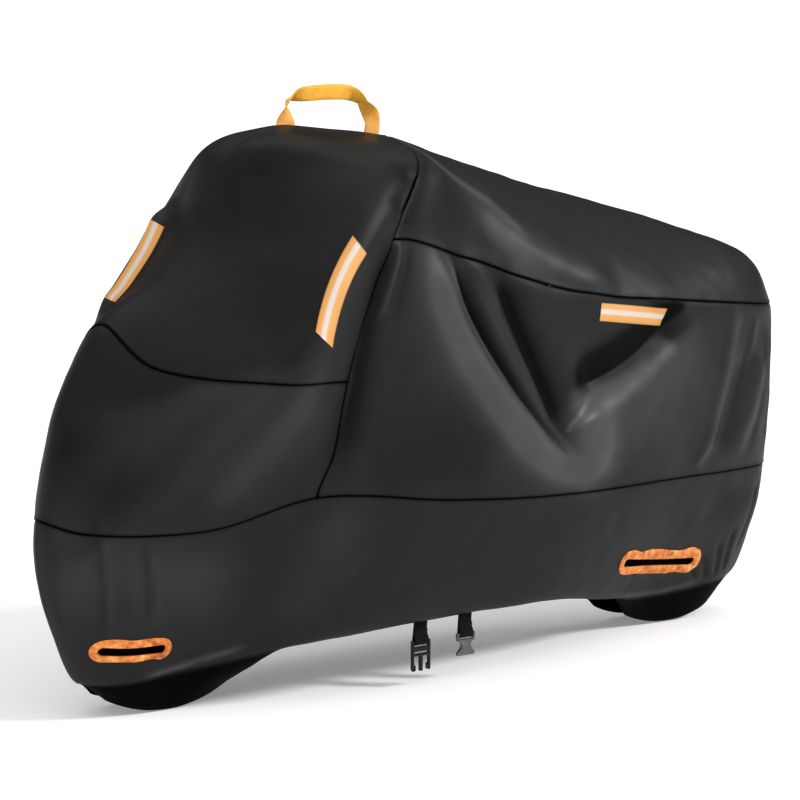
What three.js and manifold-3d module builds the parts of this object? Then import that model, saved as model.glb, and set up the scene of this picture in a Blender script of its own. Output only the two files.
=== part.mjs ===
// A fitted motorcycle cover of coated cloth, hollow and open below, in millimetres.
// X runs forward, Y to the left and Z up.

import * as THREE from "three";
import { mergeVertices } from "three/addons/utils/BufferGeometryUtils.js";
import Module from "manifold-3d";

const wasm = await Module();
wasm.setup();

// Driving dimensions
const CLOTH = 2.4; // thickness of the coated cloth with its seam allowance
const SEAM_GAP = 0.32; // between two panels that are sewn edge to edge
const SEAT_GAP = 0.35; // between the cloth and a piece that is sewn onto it
const TRIM = 2; // thickness of strips and bindings
const WEBBING = 2.6; // thickness of straps and of the handle
const WEBBING_WIDTH = 38;
const ARC_RADIUS = 310; // of the two round stretches of the hem
const ARC_CENTRES = [765, -685]; // where those stretches lie along X
const ARC_SPREAD = [165, 218]; // how far from its middle a round stretch goes over into the straight hem
const ARC_DRAW = 0.16; // share by which the hem's edge is gathered towards the middle of a round stretch
const ARC_LIFT = 9; // height of a round stretch's lowest point
const ARC_MOUTH = 60; // half width that the edge is drawn in to there, and no more than this share of the hem's
const ARC_MOUTH_SHARE = 0.62;
const HEM_TURN = 34; // how far the straight hem turns under
const HEM_NARROW = 0.35; // the least share of its distance from the middle that its edge keeps
const HEM_RISE = 4; // how far its edge then lies above its fold
const CENTRE_FADE = 60; // half width of the strip along the middle where a fold of one side dies out

// The cover's crosswise levels from the crown down, and the grid rows from each level to the next.
// The belt, breast and band levels are seams.
const LEVELS = ["ridge", "brow", "belt", "foot", "breast", "mid", "band", "axle", "hem"];
const ROWS_TO_NEXT = [3, 4, 3, 3, 3, 3, 3, 4, 2];

// The left half of the cover from the nose to the tail, a row for each section: where it meets each level.
const SECTIONS = [
  { name: "nose",
    ridge: [470, 0, 1278], brow: [578, 0, 1212], belt: [652, 0, 1045],
    foot: [752, 0, 945], breast: [882, 0, 862], mid: [992, 0, 668],
    band: [1042, 0, 452], axle: [1036, 0, 290], hem: [962, 0, 86] },
  { name: "cheek",
    ridge: [430, 0, 1281], brow: [522, 168, 1225], belt: [610, 236, 1036],
    foot: [718, 214, 900], breast: [849, 169, 782], mid: [938, 126, 612],
    band: [986, 92, 430], axle: [980, 84, 275], hem: [893, 90, 92] },
  { name: "shoulder",
    ridge: [360, 0, 1276], brow: [411, 295, 1199], belt: [545, 415, 985],
    foot: [604, 410, 862], breast: [660, 390, 757], mid: [704, 300, 590],
    band: [742, 205, 427], axle: [748, 165, 270], hem: [738, 104, 106] },
  { name: "seam",
    ridge: [140, 0, 1250], brow: [262, 300, 1192], belt: [386, 382, 1044],
    foot: [440, 366, 890], breast: [481, 350, 744], mid: [494, 318, 591],
    band: [524, 292, 488], axle: [530, 258, 320], hem: [520, 216, 150] },
  { name: "waist",
    ridge: [0, 0, 1210], brow: [90, 190, 1148], belt: [150, 318, 992],
    foot: [150, 326, 860], breast: [150, 330, 720], mid: [150, 325, 590],
    band: [150, 300, 446], axle: [150, 280, 300], hem: [150, 226, 160] },
  { name: "middle",
    ridge: [-250, 0, 1140], brow: [-225, 140, 1064], belt: [-200, 268, 893],
    foot: [-200, 276, 790], breast: [-200, 285, 690], mid: [-200, 295, 560],
    band: [-200, 285, 422], axle: [-200, 268, 290], hem: [-200, 214, 156] },
  { name: "haunch",
    ridge: [-600, 0, 1053], brow: [-575, 125, 980], belt: [-550, 230, 850],
    foot: [-550, 234, 750], breast: [-550, 240, 650], mid: [-550, 246, 530],
    band: [-550, 232, 414], axle: [-555, 195, 280], hem: [-560, 98, 94] },
  { name: "corner",
    ridge: [-890, 0, 969], brow: [-915, 86, 923], belt: [-958, 122, 810],
    foot: [-963, 124, 730], breast: [-962, 126, 640], mid: [-960, 126, 520],
    band: [-946, 123, 398], axle: [-925, 112, 268], hem: [-853, 88, 109] },
  { name: "tail",
    ridge: [-970, 0, 934], brow: [-1005, 0, 885], belt: [-1026, 0, 808],
    foot: [-1030, 0, 730], breast: [-1030, 0, 640], mid: [-1028, 0, 520],
    band: [-1016, 0, 396], axle: [-998, 0, 270], hem: [-942, 0, 112] },
];
const COLUMNS_TO_NEXT = [6, 4, 3, 6, 6, 6, 5, 3];
const SEAM_SECTION = 3; // the section that is the seam between the front panels and those behind them
const SIDE_FINENESS = 2; // the folded left side has this many times the grid's rows and columns

// The main folds, a row for each: a curve in (x, z) through its first, middle and last point,
// how far it stands out (+) or lies in (-), and how wide its upper and lower flanks are.
// A front fold's curve is in (y, z), and it is on the front alone.
const FOLDS = [
  { name: "saddle ridge", side: 1, from: [70, 1150], middle: [-120, 982], to: [-375, 888],
    out: 15, upper: 62, lower: 38 },
  { name: "tail facet", side: 1, from: [-830, 905], middle: [-650, 895], to: [-500, 858],
    out: 7, upper: 45, lower: 40 },
  { name: "front drape", side: 1, from: [268, 1040], middle: [108, 735], to: [-215, 458],
    out: 25, upper: 36, lower: 92 },
  { name: "drape groove", side: 1, from: [190, 1022], middle: [26, 742], to: [-195, 492],
    out: -20, upper: 27, lower: 27 },
  { name: "second drape", side: 1, from: [132, 990], middle: [-6, 730], to: [-205, 488],
    out: 14, upper: 30, lower: 26 },
  { name: "second groove", side: 1, from: [52, 968], middle: [-50, 760], to: [-152, 552],
    out: -13, upper: 52, lower: 28 },
  { name: "pocket", side: 1, from: [-575, 838], middle: [-405, 728], to: [-165, 660],
    out: -38, upper: 96, lower: 30 },
  { name: "pocket lip", side: 1, from: [-600, 812], middle: [-400, 684], to: [-205, 628],
    out: 17, upper: 26, lower: 84 },
  { name: "belly", side: 1, from: [-205, 640], middle: [-240, 560], to: [-235, 452],
    out: 17, upper: 72, lower: 60 },
  { name: "rear groove", side: 1, from: [-872, 735], middle: [-782, 585], to: [-690, 440],
    out: -10, upper: 32, lower: 34 },
  { name: "rear ridge", side: 1, from: [-910, 690], middle: [-850, 560], to: [-770, 440],
    out: 8, upper: 30, lower: 30 },
  { name: "shoulder dip", side: 1, from: [290, 1196], middle: [330, 1150], to: [372, 1094],
    out: -6, upper: 34, lower: 34 },
  { name: "front sweep", side: 1, from: [575, 752], middle: [668, 618], to: [752, 472],
    out: 10, upper: 62, lower: 62 },
  { name: "skirt crease", side: 1, from: [962, 420], middle: [930, 330], to: [905, 215],
    out: -6, upper: 30, lower: 34 },
  { name: "skirt swell", side: 1, from: [520, 460], middle: [470, 380], to: [400, 290],
    out: 5, upper: 60, lower: 60 },
  { name: "far saddle ridge", side: -1, from: [40, 1145], middle: [-150, 975], to: [-420, 884],
    out: 12, upper: 60, lower: 44 },
  { name: "far drape", side: -1, from: [250, 1030], middle: [70, 745], to: [-240, 470],
    out: 20, upper: 60, lower: 90 },
  { name: "far groove", side: -1, from: [150, 990], middle: [-40, 730], to: [-260, 520],
    out: -15, upper: 60, lower: 46 },
  { name: "far pocket", side: -1, from: [-600, 820], middle: [-430, 716], to: [-250, 650],
    out: -20, upper: 100, lower: 60 },
  { name: "far belly", side: -1, from: [-300, 620], middle: [-330, 540], to: [-320, 450],
    out: 12, upper: 80, lower: 70 },
  { name: "far front lip", front: true, side: -1, from: [-212, 1110], middle: [-202, 970], to: [-152, 825],
    out: 28, upper: 38, lower: 44 },
];
const FRONT_SPREAD = [430, 520]; // where the front begins along X
const FOLD_STEPS = 24; // points at which a fold's curve is measured
const FOLD_FADE = 0.22; // share of its length over which a fold starts and ends

// Reflective strips: the middle and the length along a slanted line, seen square to the cloth.
const STRIP_WIDTH = 46;
const STRIPS = [
  { name: "strip_front_left", panel: "panel_windscreen", middle: [532, 404, 942], length: 222,
    along: [-96, -6, 196], facing: [0.62, 0.77, 0.16], mirrored: false },
  { name: "strip_front_right", panel: "panel_windscreen", middle: [707, -188, 964], length: 206,
    along: [-132, -28, 147], facing: [0.72, 0.14, 0.68], mirrored: false },
  { name: "strip_side_left", panel: "panel_side_left", middle: [-389, 252, 824], length: 214,
    along: [-212, -20, -26], facing: [-0.08, 1, 0.06], mirrored: false },
  { name: "strip_side_right", panel: "panel_side_right", middle: [-389, 252, 824], length: 214,
    along: [-212, -20, -26], facing: [-0.08, 1, 0.06], mirrored: true },
];

// The long holes in the skirt and the bindings round them, measured along X and Z.
const BINDING_OVERHANG = 2; // how far the binding reaches past the cut edge of the cloth
const SLOTS = [
  { place: "front", middle: [875, 165], length: 142, height: 21, slope: 0.05, band: 18 },
  { place: "rear", middle: [-567, 193], length: 290, height: 23, slope: 0.15, band: 27 },
];

// The handle along its middle line, a row for each place: how wide it is, and how far its face
// is turned away from the left.
const HANDLE = [
  { x: 413, z: 1262, width: 50, turn: 0 },
  { x: 412, z: 1285, width: 48, turn: 0 },
  { x: 410, z: 1305, width: 42, turn: 28 },
  { x: 408, z: 1323, width: 38, turn: 66 },
  { x: 402, z: 1336, width: 37, turn: 76 },
  { x: 386, z: 1343, width: 36, turn: 42 },
  { x: 350, z: 1347, width: 35, turn: 6 },
  { x: 290, z: 1350, width: 35, turn: 0 },
  { x: 246, z: 1348, width: 35, turn: 8 },
  { x: 222, z: 1339, width: 35, turn: 48 },
  { x: 205, z: 1326, width: 35, turn: 78 },
  { x: 192, z: 1311, width: 37, turn: 52 },
  { x: 181, z: 1294, width: 39, turn: 16 },
  { x: 178, z: 1276, width: 40, turn: 0 },
  { x: 184, z: 1238, width: 42, turn: 0 },
];
const HANDLE_STEPS = 30;
const HANDLE_ROOT = 60; // depth over which the crown takes the handle's feet away

// The belly strap's two ends on the left hem. Each goes round its buckle's bar and is sewn back on itself.
const STRAP_TOP = 170; // inside the turned hem, which cuts the strap to length
const STRAP_ROOT = 14; // depth over which the hem takes the strap's end away
const STRAP_Y = 212;
const STRAP_BEND = 1.9; // radius of the strap's middle round the bar's edges
const STRAP_TAIL = 24; // how far the sewn-back end reaches above the bar
const BAR = 7; // height of a buckle's bar
const RAIL = 5; // width of a buckle's side beside the strap
const BUCKLE_THICKNESS = 8;
const BUCKLE_WIDTH = 50;
const STRAP_SLOT = 8;
const STRAPS = {
  strap_front: { top: 186, bottom: 192, bar: 113 },
  strap_rear: { top: 61, bottom: 65, bar: 113 },
};
const PLUG = { body: 25, window: 6, crossbar: 5, length: 71, arm: 4.5, hook: 9, hookLength: 13, prong: 7 };
const SOCKET = { collar: 17, waist: 25, waistAt: 29, mouth: 48, mouthAt: 46, length: 52 };

// Colours
const INK = { color: 0x2d2d2e, roughness: 0.55, metalness: 0 };
const AMBER = { color: 0xf0a030, roughness: 0.75, metalness: 0 };
const ORANGE = { color: 0xe0863a, roughness: 0.7, metalness: 0 };
const BLACK_WEBBING = { color: 0x151516, roughness: 0.85, metalness: 0 };
const BLACK_PLASTIC = { color: 0x1c1c1d, roughness: 0.4, metalness: 0 };
const GREY_PLASTIC = { color: 0x6d6d70, roughness: 0.45, metalness: 0 };

const MERGE = 1e-4;

// Solids
function toSolid(geometry) {
  geometry.deleteAttribute("normal");
  geometry.deleteAttribute("uv");
  const merged = mergeVertices(geometry, MERGE);
  return new wasm.Manifold(
    new wasm.Mesh({
      numProp: 3,
      vertProperties: new Float32Array(merged.attributes.position.array),
      triVerts: new Uint32Array(merged.index.array),
    }),
  );
}

function toGeometry(solid) {
  const mesh = solid.getMesh();
  const geometry = new THREE.BufferGeometry();
  const positions = new Float32Array(mesh.numVert * 3);
  for (let i = 0; i < mesh.numVert; i++) {
    positions.set(mesh.vertProperties.subarray(i * mesh.numProp, i * mesh.numProp + 3), i * 3);
  }
  geometry.setAttribute("position", new THREE.BufferAttribute(positions, 3));
  geometry.setIndex(new THREE.BufferAttribute(new Uint32Array(mesh.triVerts), 1));
  geometry.computeVertexNormals();
  return geometry;
}

function geometryOf(points, triangles) {
  const geometry = new THREE.BufferGeometry().setFromPoints(points);
  geometry.setIndex(triangles.flat());
  return geometry;
}

// Folds
function smooth(low, high, value) {
  const share = Math.min(Math.max((value - low) / (high - low), 0), 1);
  return share * share * (3 - 2 * share);
}

function foldCurve(fold) {
  const control = [0, 1].map((k) => 2 * fold.middle[k] - (fold.from[k] + fold.to[k]) / 2);
  const curve = new THREE.QuadraticBezierCurve(
    new THREE.Vector2(...fold.from),
    new THREE.Vector2(...control),
    new THREE.Vector2(...fold.to),
  );
  return curve.getPoints(FOLD_STEPS);
}

const foldCurves = FOLDS.map(foldCurve);

// How far one fold moves the cloth at a point, by the nearest place on its curve.
function foldHeight(fold, curve, point) {
  const frontShare = fold.front ? smooth(...FRONT_SPREAD, point.x) : 1;
  const sideShare = frontShare * smooth(0, CENTRE_FADE, point.y * fold.side);
  if (sideShare === 0) return 0;
  const here = new THREE.Vector2(fold.front ? point.y : point.x, point.z);
  let nearest = Infinity;
  let share = 0;
  let above = true;
  for (let i = 0; i < FOLD_STEPS; i++) {
    const step = curve[i + 1].clone().sub(curve[i]);
    const offset = here.clone().sub(curve[i]);
    const along = Math.min(Math.max(offset.dot(step) / step.lengthSq(), 0), 1);
    const gap = offset.addScaledVector(step, -along);
    if (gap.length() < nearest) {
      nearest = gap.length();
      share = (i + along) / FOLD_STEPS;
      above = gap.y > 0;
    }
  }
  const reach = nearest / (above ? fold.upper : fold.lower);
  const ends = smooth(0, FOLD_FADE, share) * smooth(0, FOLD_FADE, 1 - share);
  return fold.out * sideShare * ends * Math.exp(-reach * reach);
}

// The cloth's surface
function arcRise(along) {
  return ARC_RADIUS - Math.sqrt(Math.max(ARC_RADIUS ** 2 - along ** 2, 0));
}

// The hem's free edge: turned under where it is straight, drawn in and down on the round stretches.
function hemEdge(hem) {
  const centre = ARC_CENTRES.reduce((a, b) => (Math.abs(hem.x - a) < Math.abs(hem.x - b) ? a : b));
  const along = hem.x - centre;
  const round = 1 - smooth(...ARC_SPREAD, Math.abs(along));
  const reach = Math.abs(hem.y);
  const x = hem.x - ARC_DRAW * round * along;
  const mouth = Math.min(ARC_MOUTH, ARC_MOUTH_SHARE * reach);
  const turned = Math.max(reach - HEM_TURN, HEM_NARROW * reach);
  const y = (1 - round) * turned + round * mouth;
  const low = Math.min(arcRise(x - centre) + ARC_LIFT, hem.z);
  return new THREE.Vector3(x, Math.sign(hem.y) * y, (1 - round) * (hem.z + HEM_RISE) + round * low);
}

function pointsAlong(points, closed, counts) {
  const curve = new THREE.CatmullRomCurve3(points, closed, "centripetal");
  const spans = closed ? points.length : points.length - 1;
  const found = [];
  counts.forEach((count, span) => {
    for (let i = 0; i < count; i++) found.push(curve.getPoint((span + i / count) / spans));
  });
  if (!closed) found.push(points[points.length - 1].clone());
  return found;
}

// The whole cover as a ring of columns, each from the crown down to the hem's edge.
// The crown's points are shared by the left and right columns.
function makeSurface(fineness) {
  const left = SECTIONS.map((section) => LEVELS.map((level) => new THREE.Vector3(...section[level])));
  const right = left.slice(1, -1).reverse();
  const mirror = new THREE.Vector3(1, -1, 1);
  const ring = [...left, ...right.map((points) => points.map((p) => p.clone().multiply(mirror)))];
  const halfCounts = COLUMNS_TO_NEXT.map((count) => count * fineness);
  const counts = [...halfCounts, ...[...halfCounts].reverse()];
  const rings = LEVELS.map((level, k) => pointsAlong(ring.map((points) => points[k]), true, counts));
  rings[0].forEach((p) => p.setY(0));
  rings.push(rings[rings.length - 1].map(hemEdge));
  const rowCounts = ROWS_TO_NEXT.map((count) => count * fineness);
  const columns = rings[0].map((_, i) => pointsAlong(rings.map((row) => row[i]), false, rowCounts));
  const size = columns.length;
  const rows = columns[0].length;
  const id = (i, j) => {
    const column = ((i % size) + size) % size;
    return (j === 0 ? Math.min(column, size - column) : column) * rows + j;
  };
  const surface = { id, rows, size, points: columns.flat() };
  surface.normals = vertexNormals(surface);
  surface.points = surface.points.map((point, k) => {
    const height = FOLDS.reduce((sum, fold, n) => sum + foldHeight(fold, foldCurves[n], point), 0);
    return point.clone().addScaledVector(surface.normals[k], height);
  });
  surface.normals = vertexNormals(surface);
  return surface;
}

// Each quad's two triangles, cut along its shorter diagonal.
function quadTriangles(surface, i, j) {
  const [a, b, c, d] = [surface.id(i, j), surface.id(i, j + 1), surface.id(i + 1, j + 1), surface.id(i + 1, j)];
  const points = surface.points;
  if (points[a].distanceTo(points[c]) <= points[b].distanceTo(points[d])) {
    return [[a, b, c], [a, c, d]];
  }
  return [[a, b, d], [b, c, d]];
}

function patchTriangles(surface, columns, rows) {
  const triangles = [];
  for (let i = columns[0]; i < columns[1]; i++) {
    for (let j = rows[0]; j < rows[1]; j++) triangles.push(...quadTriangles(surface, i, j));
  }
  return triangles;
}

function vertexNormals(surface) {
  const normals = surface.points.map(() => new THREE.Vector3());
  const all = patchTriangles(surface, [0, surface.size], [0, surface.rows - 1]);
  for (const [a, b, c] of all) {
    const first = surface.points[b].clone().sub(surface.points[a]);
    const face = first.cross(surface.points[c].clone().sub(surface.points[a]));
    for (const k of [a, b, c]) normals[k].add(face);
  }
  return normals.map((normal) => normal.normalize());
}

// The directed edges of a patch that only one of its triangles has.
function boundaryEdges(triangles) {
  const edges = new Map();
  for (const [a, b, c] of triangles) {
    for (const [from, to] of [[a, b], [b, c], [c, a]]) {
      const back = to + ":" + from;
      if (edges.has(back)) edges.delete(back);
      else edges.set(from + ":" + to, [from, to]);
    }
  }
  return [...edges.values()];
}

// How each point of a patch's rim moves inwards, so that two panels keep the seam's gap.
function rimShifts(surface, edges) {
  const inward = new Map();
  for (const [from, to] of edges) {
    const edge = surface.points[to].clone().sub(surface.points[from]);
    for (const k of [from, to]) {
      const into = surface.normals[k].clone().cross(edge).normalize();
      inward.set(k, [...(inward.get(k) ?? []), into]);
    }
  }
  const shifts = new Map();
  for (const [k, directions] of inward) {
    const sum = directions.reduce((total, one) => total.add(one), new THREE.Vector3()).normalize();
    const share = Math.max(sum.dot(directions[directions.length - 1]), 0.5);
    shifts.set(k, sum.multiplyScalar(SEAM_GAP / 2 / share));
  }
  return shifts;
}

// A patch of the surface as a closed sheet between two distances from it.
function sheet(surface, triangles, low, high) {
  const edges = boundaryEdges(triangles);
  const shifts = rimShifts(surface, edges);
  const used = [...new Set(triangles.flat())];
  const place = new Map(used.map((k, n) => [k, n]));
  const layer = (distance) =>
    used.map((k) => {
      const point = surface.points[k].clone().addScaledVector(surface.normals[k], distance);
      return shifts.has(k) ? point.add(shifts.get(k)) : point;
    });
  const under = used.length;
  const faces = triangles.map(([a, b, c]) => [place.get(a), place.get(b), place.get(c)]);
  const backs = faces.map(([a, b, c]) => [a + under, c + under, b + under]);
  const walls = edges.flatMap(([from, to]) => {
    const [a, b] = [place.get(from), place.get(to)];
    return [[a, a + under, b + under], [a, b + under, b]];
  });
  return toSolid(geometryOf([...layer(high), ...layer(low)], [...faces, ...backs, ...walls]));
}

const coarse = makeSurface(1);
const fine = makeSurface(SIDE_FINENESS);

function sum(counts) {
  return counts.reduce((total, count) => total + count, 0);
}

function rowOf(level) {
  return sum(ROWS_TO_NEXT.slice(0, LEVELS.indexOf(level)));
}

const SEAM_COLUMN = sum(COLUMNS_TO_NEXT.slice(0, SEAM_SECTION));
const TAIL_COLUMN = sum(COLUMNS_TO_NEXT);
const EDGE_ROW = coarse.rows - 1;

// The fine side's rim lies on the straight edges of its coarser neighbours.
function fitRim(columns, rows) {
  const step = SIDE_FINENESS;
  const rim = [];
  for (let i = columns[0] * step; i <= columns[1] * step; i++) {
    rim.push([i, rows[0] * step], [i, rows[1] * step]);
  }
  for (let j = rows[0] * step; j <= rows[1] * step; j++) {
    rim.push([columns[0] * step, j], [columns[1] * step, j]);
  }
  for (const [i, j] of rim) {
    const before = coarse.id(Math.floor(i / step), Math.floor(j / step));
    const after = coarse.id(Math.ceil(i / step), Math.ceil(j / step));
    const share = Math.max((i % step) / step, (j % step) / step);
    const k = fine.id(i, j);
    fine.points[k] = coarse.points[before].clone().lerp(coarse.points[after], share);
    fine.normals[k] = coarse.normals[before].clone().lerp(coarse.normals[after], share);
  }
}

// The panels, a row for each: between which columns and which levels it lies.
const PANELS = [
  { name: "panel_windscreen", columns: [-SEAM_COLUMN, SEAM_COLUMN], rows: [0, rowOf("breast")] },
  { name: "panel_front_lower", columns: [-SEAM_COLUMN, SEAM_COLUMN], rows: [rowOf("breast"), rowOf("band")] },
  { name: "panel_saddle", columns: [SEAM_COLUMN, 2 * TAIL_COLUMN - SEAM_COLUMN], rows: [0, rowOf("belt")] },
  { name: "panel_side_left", columns: [SEAM_COLUMN, TAIL_COLUMN], rows: [rowOf("belt"), rowOf("band")],
    folded: true },
  { name: "panel_side_right", columns: [TAIL_COLUMN, 2 * TAIL_COLUMN - SEAM_COLUMN],
    rows: [rowOf("belt"), rowOf("band")] },
  { name: "skirt_left", columns: [0, TAIL_COLUMN], rows: [rowOf("band"), EDGE_ROW] },
  { name: "skirt_right", columns: [TAIL_COLUMN, 2 * TAIL_COLUMN], rows: [rowOf("band"), EDGE_ROW] },
];

function panelSheet(panel, low, high) {
  if (!panel.folded) return sheet(coarse, patchTriangles(coarse, panel.columns, panel.rows), low, high);
  const columns = panel.columns.map((k) => k * SIDE_FINENESS);
  const rows = panel.rows.map((k) => k * SIDE_FINENESS);
  return sheet(fine, patchTriangles(fine, columns, rows), low, high);
}

function panelNamed(name) {
  return PANELS.find((panel) => panel.name === name);
}

fitRim(panelNamed("panel_side_left").columns, panelNamed("panel_side_left").rows);

const group = new THREE.Group();

function add(name, solid, finish) {
  const mesh = new THREE.Mesh(toGeometry(solid), new THREE.MeshStandardMaterial(finish));
  mesh.name = name;
  group.add(mesh);
}

// A flat outline in the plane of two directions, run through the cloth along the third.
function prism(shape, origin, across, up, depth) {
  const through = across.clone().cross(up);
  const geometry = new THREE.ExtrudeGeometry(shape, { depth, bevelEnabled: false, curveSegments: 5 });
  geometry.translate(0, 0, -depth / 2);
  geometry.applyMatrix4(new THREE.Matrix4().makeBasis(across, up, through).setPosition(origin));
  return toSolid(geometry);
}

function roundedBar(length, height) {
  const radius = height / 2;
  const reach = length / 2 - radius;
  const shape = new THREE.Shape();
  shape.moveTo(-reach, -radius);
  shape.lineTo(reach, -radius);
  shape.absarc(reach, 0, radius, -Math.PI / 2, Math.PI / 2, false);
  shape.lineTo(-reach, radius);
  shape.absarc(-reach, 0, radius, Math.PI / 2, (3 * Math.PI) / 2, false);
  return shape;
}

function rectangle(left, bottom, right, top) {
  const shape = new THREE.Shape();
  shape.moveTo(left, bottom);
  shape.lineTo(right, bottom);
  shape.lineTo(right, top);
  shape.lineTo(left, top);
  shape.closePath();
  return shape;
}

// Slots and their bindings
const X_AXIS = new THREE.Vector3(1, 0, 0);
const Z_AXIS = new THREE.Vector3(0, 0, 1);
const SLOT_REACH = 275; // a slot's outline runs through one side of the skirt, between these distances
const SLOT_START = 15; // from the middle
const STRIP_REACH = 220; // how far a strip's outline runs through the cloth

function slotPrism(slot, side, growth) {
  const tilt = Math.atan(slot.slope);
  const across = X_AXIS.clone().applyAxisAngle(new THREE.Vector3(0, 1, 0), -tilt);
  const up = Z_AXIS.clone().applyAxisAngle(new THREE.Vector3(0, 1, 0), -tilt);
  const middle = (side * (SLOT_START + SLOT_REACH)) / 2;
  const origin = new THREE.Vector3(slot.middle[0], middle, slot.middle[1]);
  const shape = roundedBar(slot.length + 2 * growth, slot.height + 2 * growth);
  return prism(shape, origin, across, up, SLOT_REACH - SLOT_START);
}

function skirtWithSlots(panel, side) {
  return SLOTS.reduce(
    (solid, slot) => solid.subtract(slotPrism(slot, side, BINDING_OVERHANG)),
    panelSheet(panel, -CLOTH, 0),
  );
}

function binding(panel, slot, side) {
  const ring = slotPrism(slot, side, slot.band).subtract(slotPrism(slot, side, 0));
  return ring.intersect(panelSheet(panel, SEAT_GAP, SEAT_GAP + TRIM));
}

// A strip that follows the cloth under its outline
function strip(row) {
  const flip = new THREE.Vector3(1, row.mirrored ? -1 : 1, 1);
  const facing = new THREE.Vector3(...row.facing).multiply(flip).normalize();
  const middle = new THREE.Vector3(...row.middle).multiply(flip);
  const slant = new THREE.Vector3(...row.along).multiply(flip);
  const up = slant.addScaledVector(facing, -slant.dot(facing)).normalize();
  const across = up.clone().cross(facing);
  const outline = rectangle(-STRIP_WIDTH / 2, -row.length / 2, STRIP_WIDTH / 2, row.length / 2);
  const cutter = prism(outline, middle, across, up, STRIP_REACH);
  return cutter.intersect(panelSheet(panelNamed(row.panel), SEAT_GAP, SEAT_GAP + TRIM));
}

// A band of webbing through a row of places, each with its half width as a vector
function ribbon(places) {
  const points = [];
  const faces = [];
  places.forEach(({ centre, half }, k) => {
    const before = places[Math.max(k - 1, 0)].centre;
    const after = places[Math.min(k + 1, places.length - 1)].centre;
    const tangent = after.clone().sub(before).normalize();
    const lift = tangent.cross(half).normalize().multiplyScalar(WEBBING / 2);
    for (const [w, t] of [[-1, -1], [1, -1], [1, 1], [-1, 1]]) {
      points.push(centre.clone().addScaledVector(half, w).addScaledVector(lift, t));
    }
    if (k === 0) return;
    for (let j = 0; j < 4; j++) {
      const [a, b] = [4 * (k - 1) + j, 4 * (k - 1) + ((j + 1) % 4)];
      faces.push([a, b, b + 4], [a, b + 4, a + 4]);
    }
  });
  const last = points.length - 4;
  faces.push([0, 3, 2], [0, 2, 1], [last, last + 1, last + 2], [last, last + 2, last + 3]);
  return toSolid(geometryOf(points, faces));
}

// The handle stands along the crown, its feet cut to the cloth
function handle() {
  const path = new THREE.CatmullRomCurve3(HANDLE.map(({ x, z }) => new THREE.Vector3(x, 0, z)));
  const look = new THREE.CatmullRomCurve3(HANDLE.map(({ width, turn }) => new THREE.Vector3(width, turn, 0)));
  const places = [];
  for (let k = 0; k <= HANDLE_STEPS; k++) {
    const { x: width, y: turn } = look.getPoint(k / HANDLE_STEPS);
    const centre = path.getPoint(k / HANDLE_STEPS);
    const tangent = path.getTangent(k / HANDLE_STEPS);
    const flat = tangent.clone().cross(new THREE.Vector3(0, 1, 0)).normalize();
    const half = flat.applyAxisAngle(tangent, THREE.MathUtils.degToRad(turn));
    places.push({ centre, half: half.multiplyScalar(width / 2) });
  }
  const crown = panelSheet(panelNamed("panel_windscreen"), -HANDLE_ROOT, SEAT_GAP);
  return ribbon(places).subtract(crown);
}

// The strap's middle line in (y, z), down behind the bar, through the slot and up in front
function strap({ top, bottom, bar }) {
  const thick = BUCKLE_THICKNESS / 2;
  const under = bar - BAR;
  const line = [[-thick - STRAP_BEND, STRAP_TOP], [-thick - STRAP_BEND, (STRAP_TOP + bar) / 2]];
  for (const [edge, start] of [[-thick, Math.PI], [thick, 1.5 * Math.PI]]) {
    for (let k = 0; k <= 2; k++) {
      const angle = start + (k * Math.PI) / 4;
      line.push([edge + STRAP_BEND * Math.cos(angle), under + STRAP_BEND * Math.sin(angle)]);
    }
  }
  const beside = -thick - STRAP_BEND + 1.5 * WEBBING;
  line.push([thick + STRAP_BEND, bar + 2], [beside, bar + STRAP_TAIL / 2], [beside, bar + STRAP_TAIL]);
  const half = new THREE.Vector3(WEBBING_WIDTH / 2, 0, 0);
  const places = line.map(([y, z]) => {
    const x = THREE.MathUtils.mapLinear(z, STRAP_TOP, bar, top, bottom);
    return { centre: new THREE.Vector3(x, STRAP_Y + y, z), half };
  });
  return ribbon(places).subtract(panelSheet(panelNamed("skirt_left"), -STRAP_ROOT, SEAT_GAP));
}

// Buckle halves, flat outlines in the plane of their strap, measured down from the bar's top
function buckle(outline, holes, { bottom, bar }) {
  const left = outline.map(([x, z]) => new THREE.Vector2(-x, z));
  const right = outline.map(([x, z]) => new THREE.Vector2(x, z)).reverse();
  const shape = new THREE.Shape([...left, ...right]);
  shape.holes = holes.map(([x, high, low]) => rectangle(-x, low, x, high));
  return prism(shape, new THREE.Vector3(bottom, STRAP_Y, bar), X_AXIS, Z_AXIS, BUCKLE_THICKNESS);
}

const STRAP_HOLE = [BUCKLE_WIDTH / 2 - RAIL, -BAR, -BAR - STRAP_SLOT];

function plug() {
  const side = BUCKLE_WIDTH / 2;
  const fork = -PLUG.body - PLUG.window - PLUG.crossbar;
  const end = -PLUG.length;
  const outline = [
    [side, 0], [side, end + 4], [side - 2, end], [side - PLUG.hook, end + 2],
    [side - PLUG.hook, end + PLUG.hookLength], [side - PLUG.arm, end + PLUG.hookLength + 4],
    [side - PLUG.arm, fork], [PLUG.prong / 2, fork], [PLUG.prong / 2, end],
  ];
  const window = [side - RAIL, -PLUG.body, -PLUG.body - PLUG.window];
  return buckle(outline, [STRAP_HOLE, window], STRAPS.strap_front);
}

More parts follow.
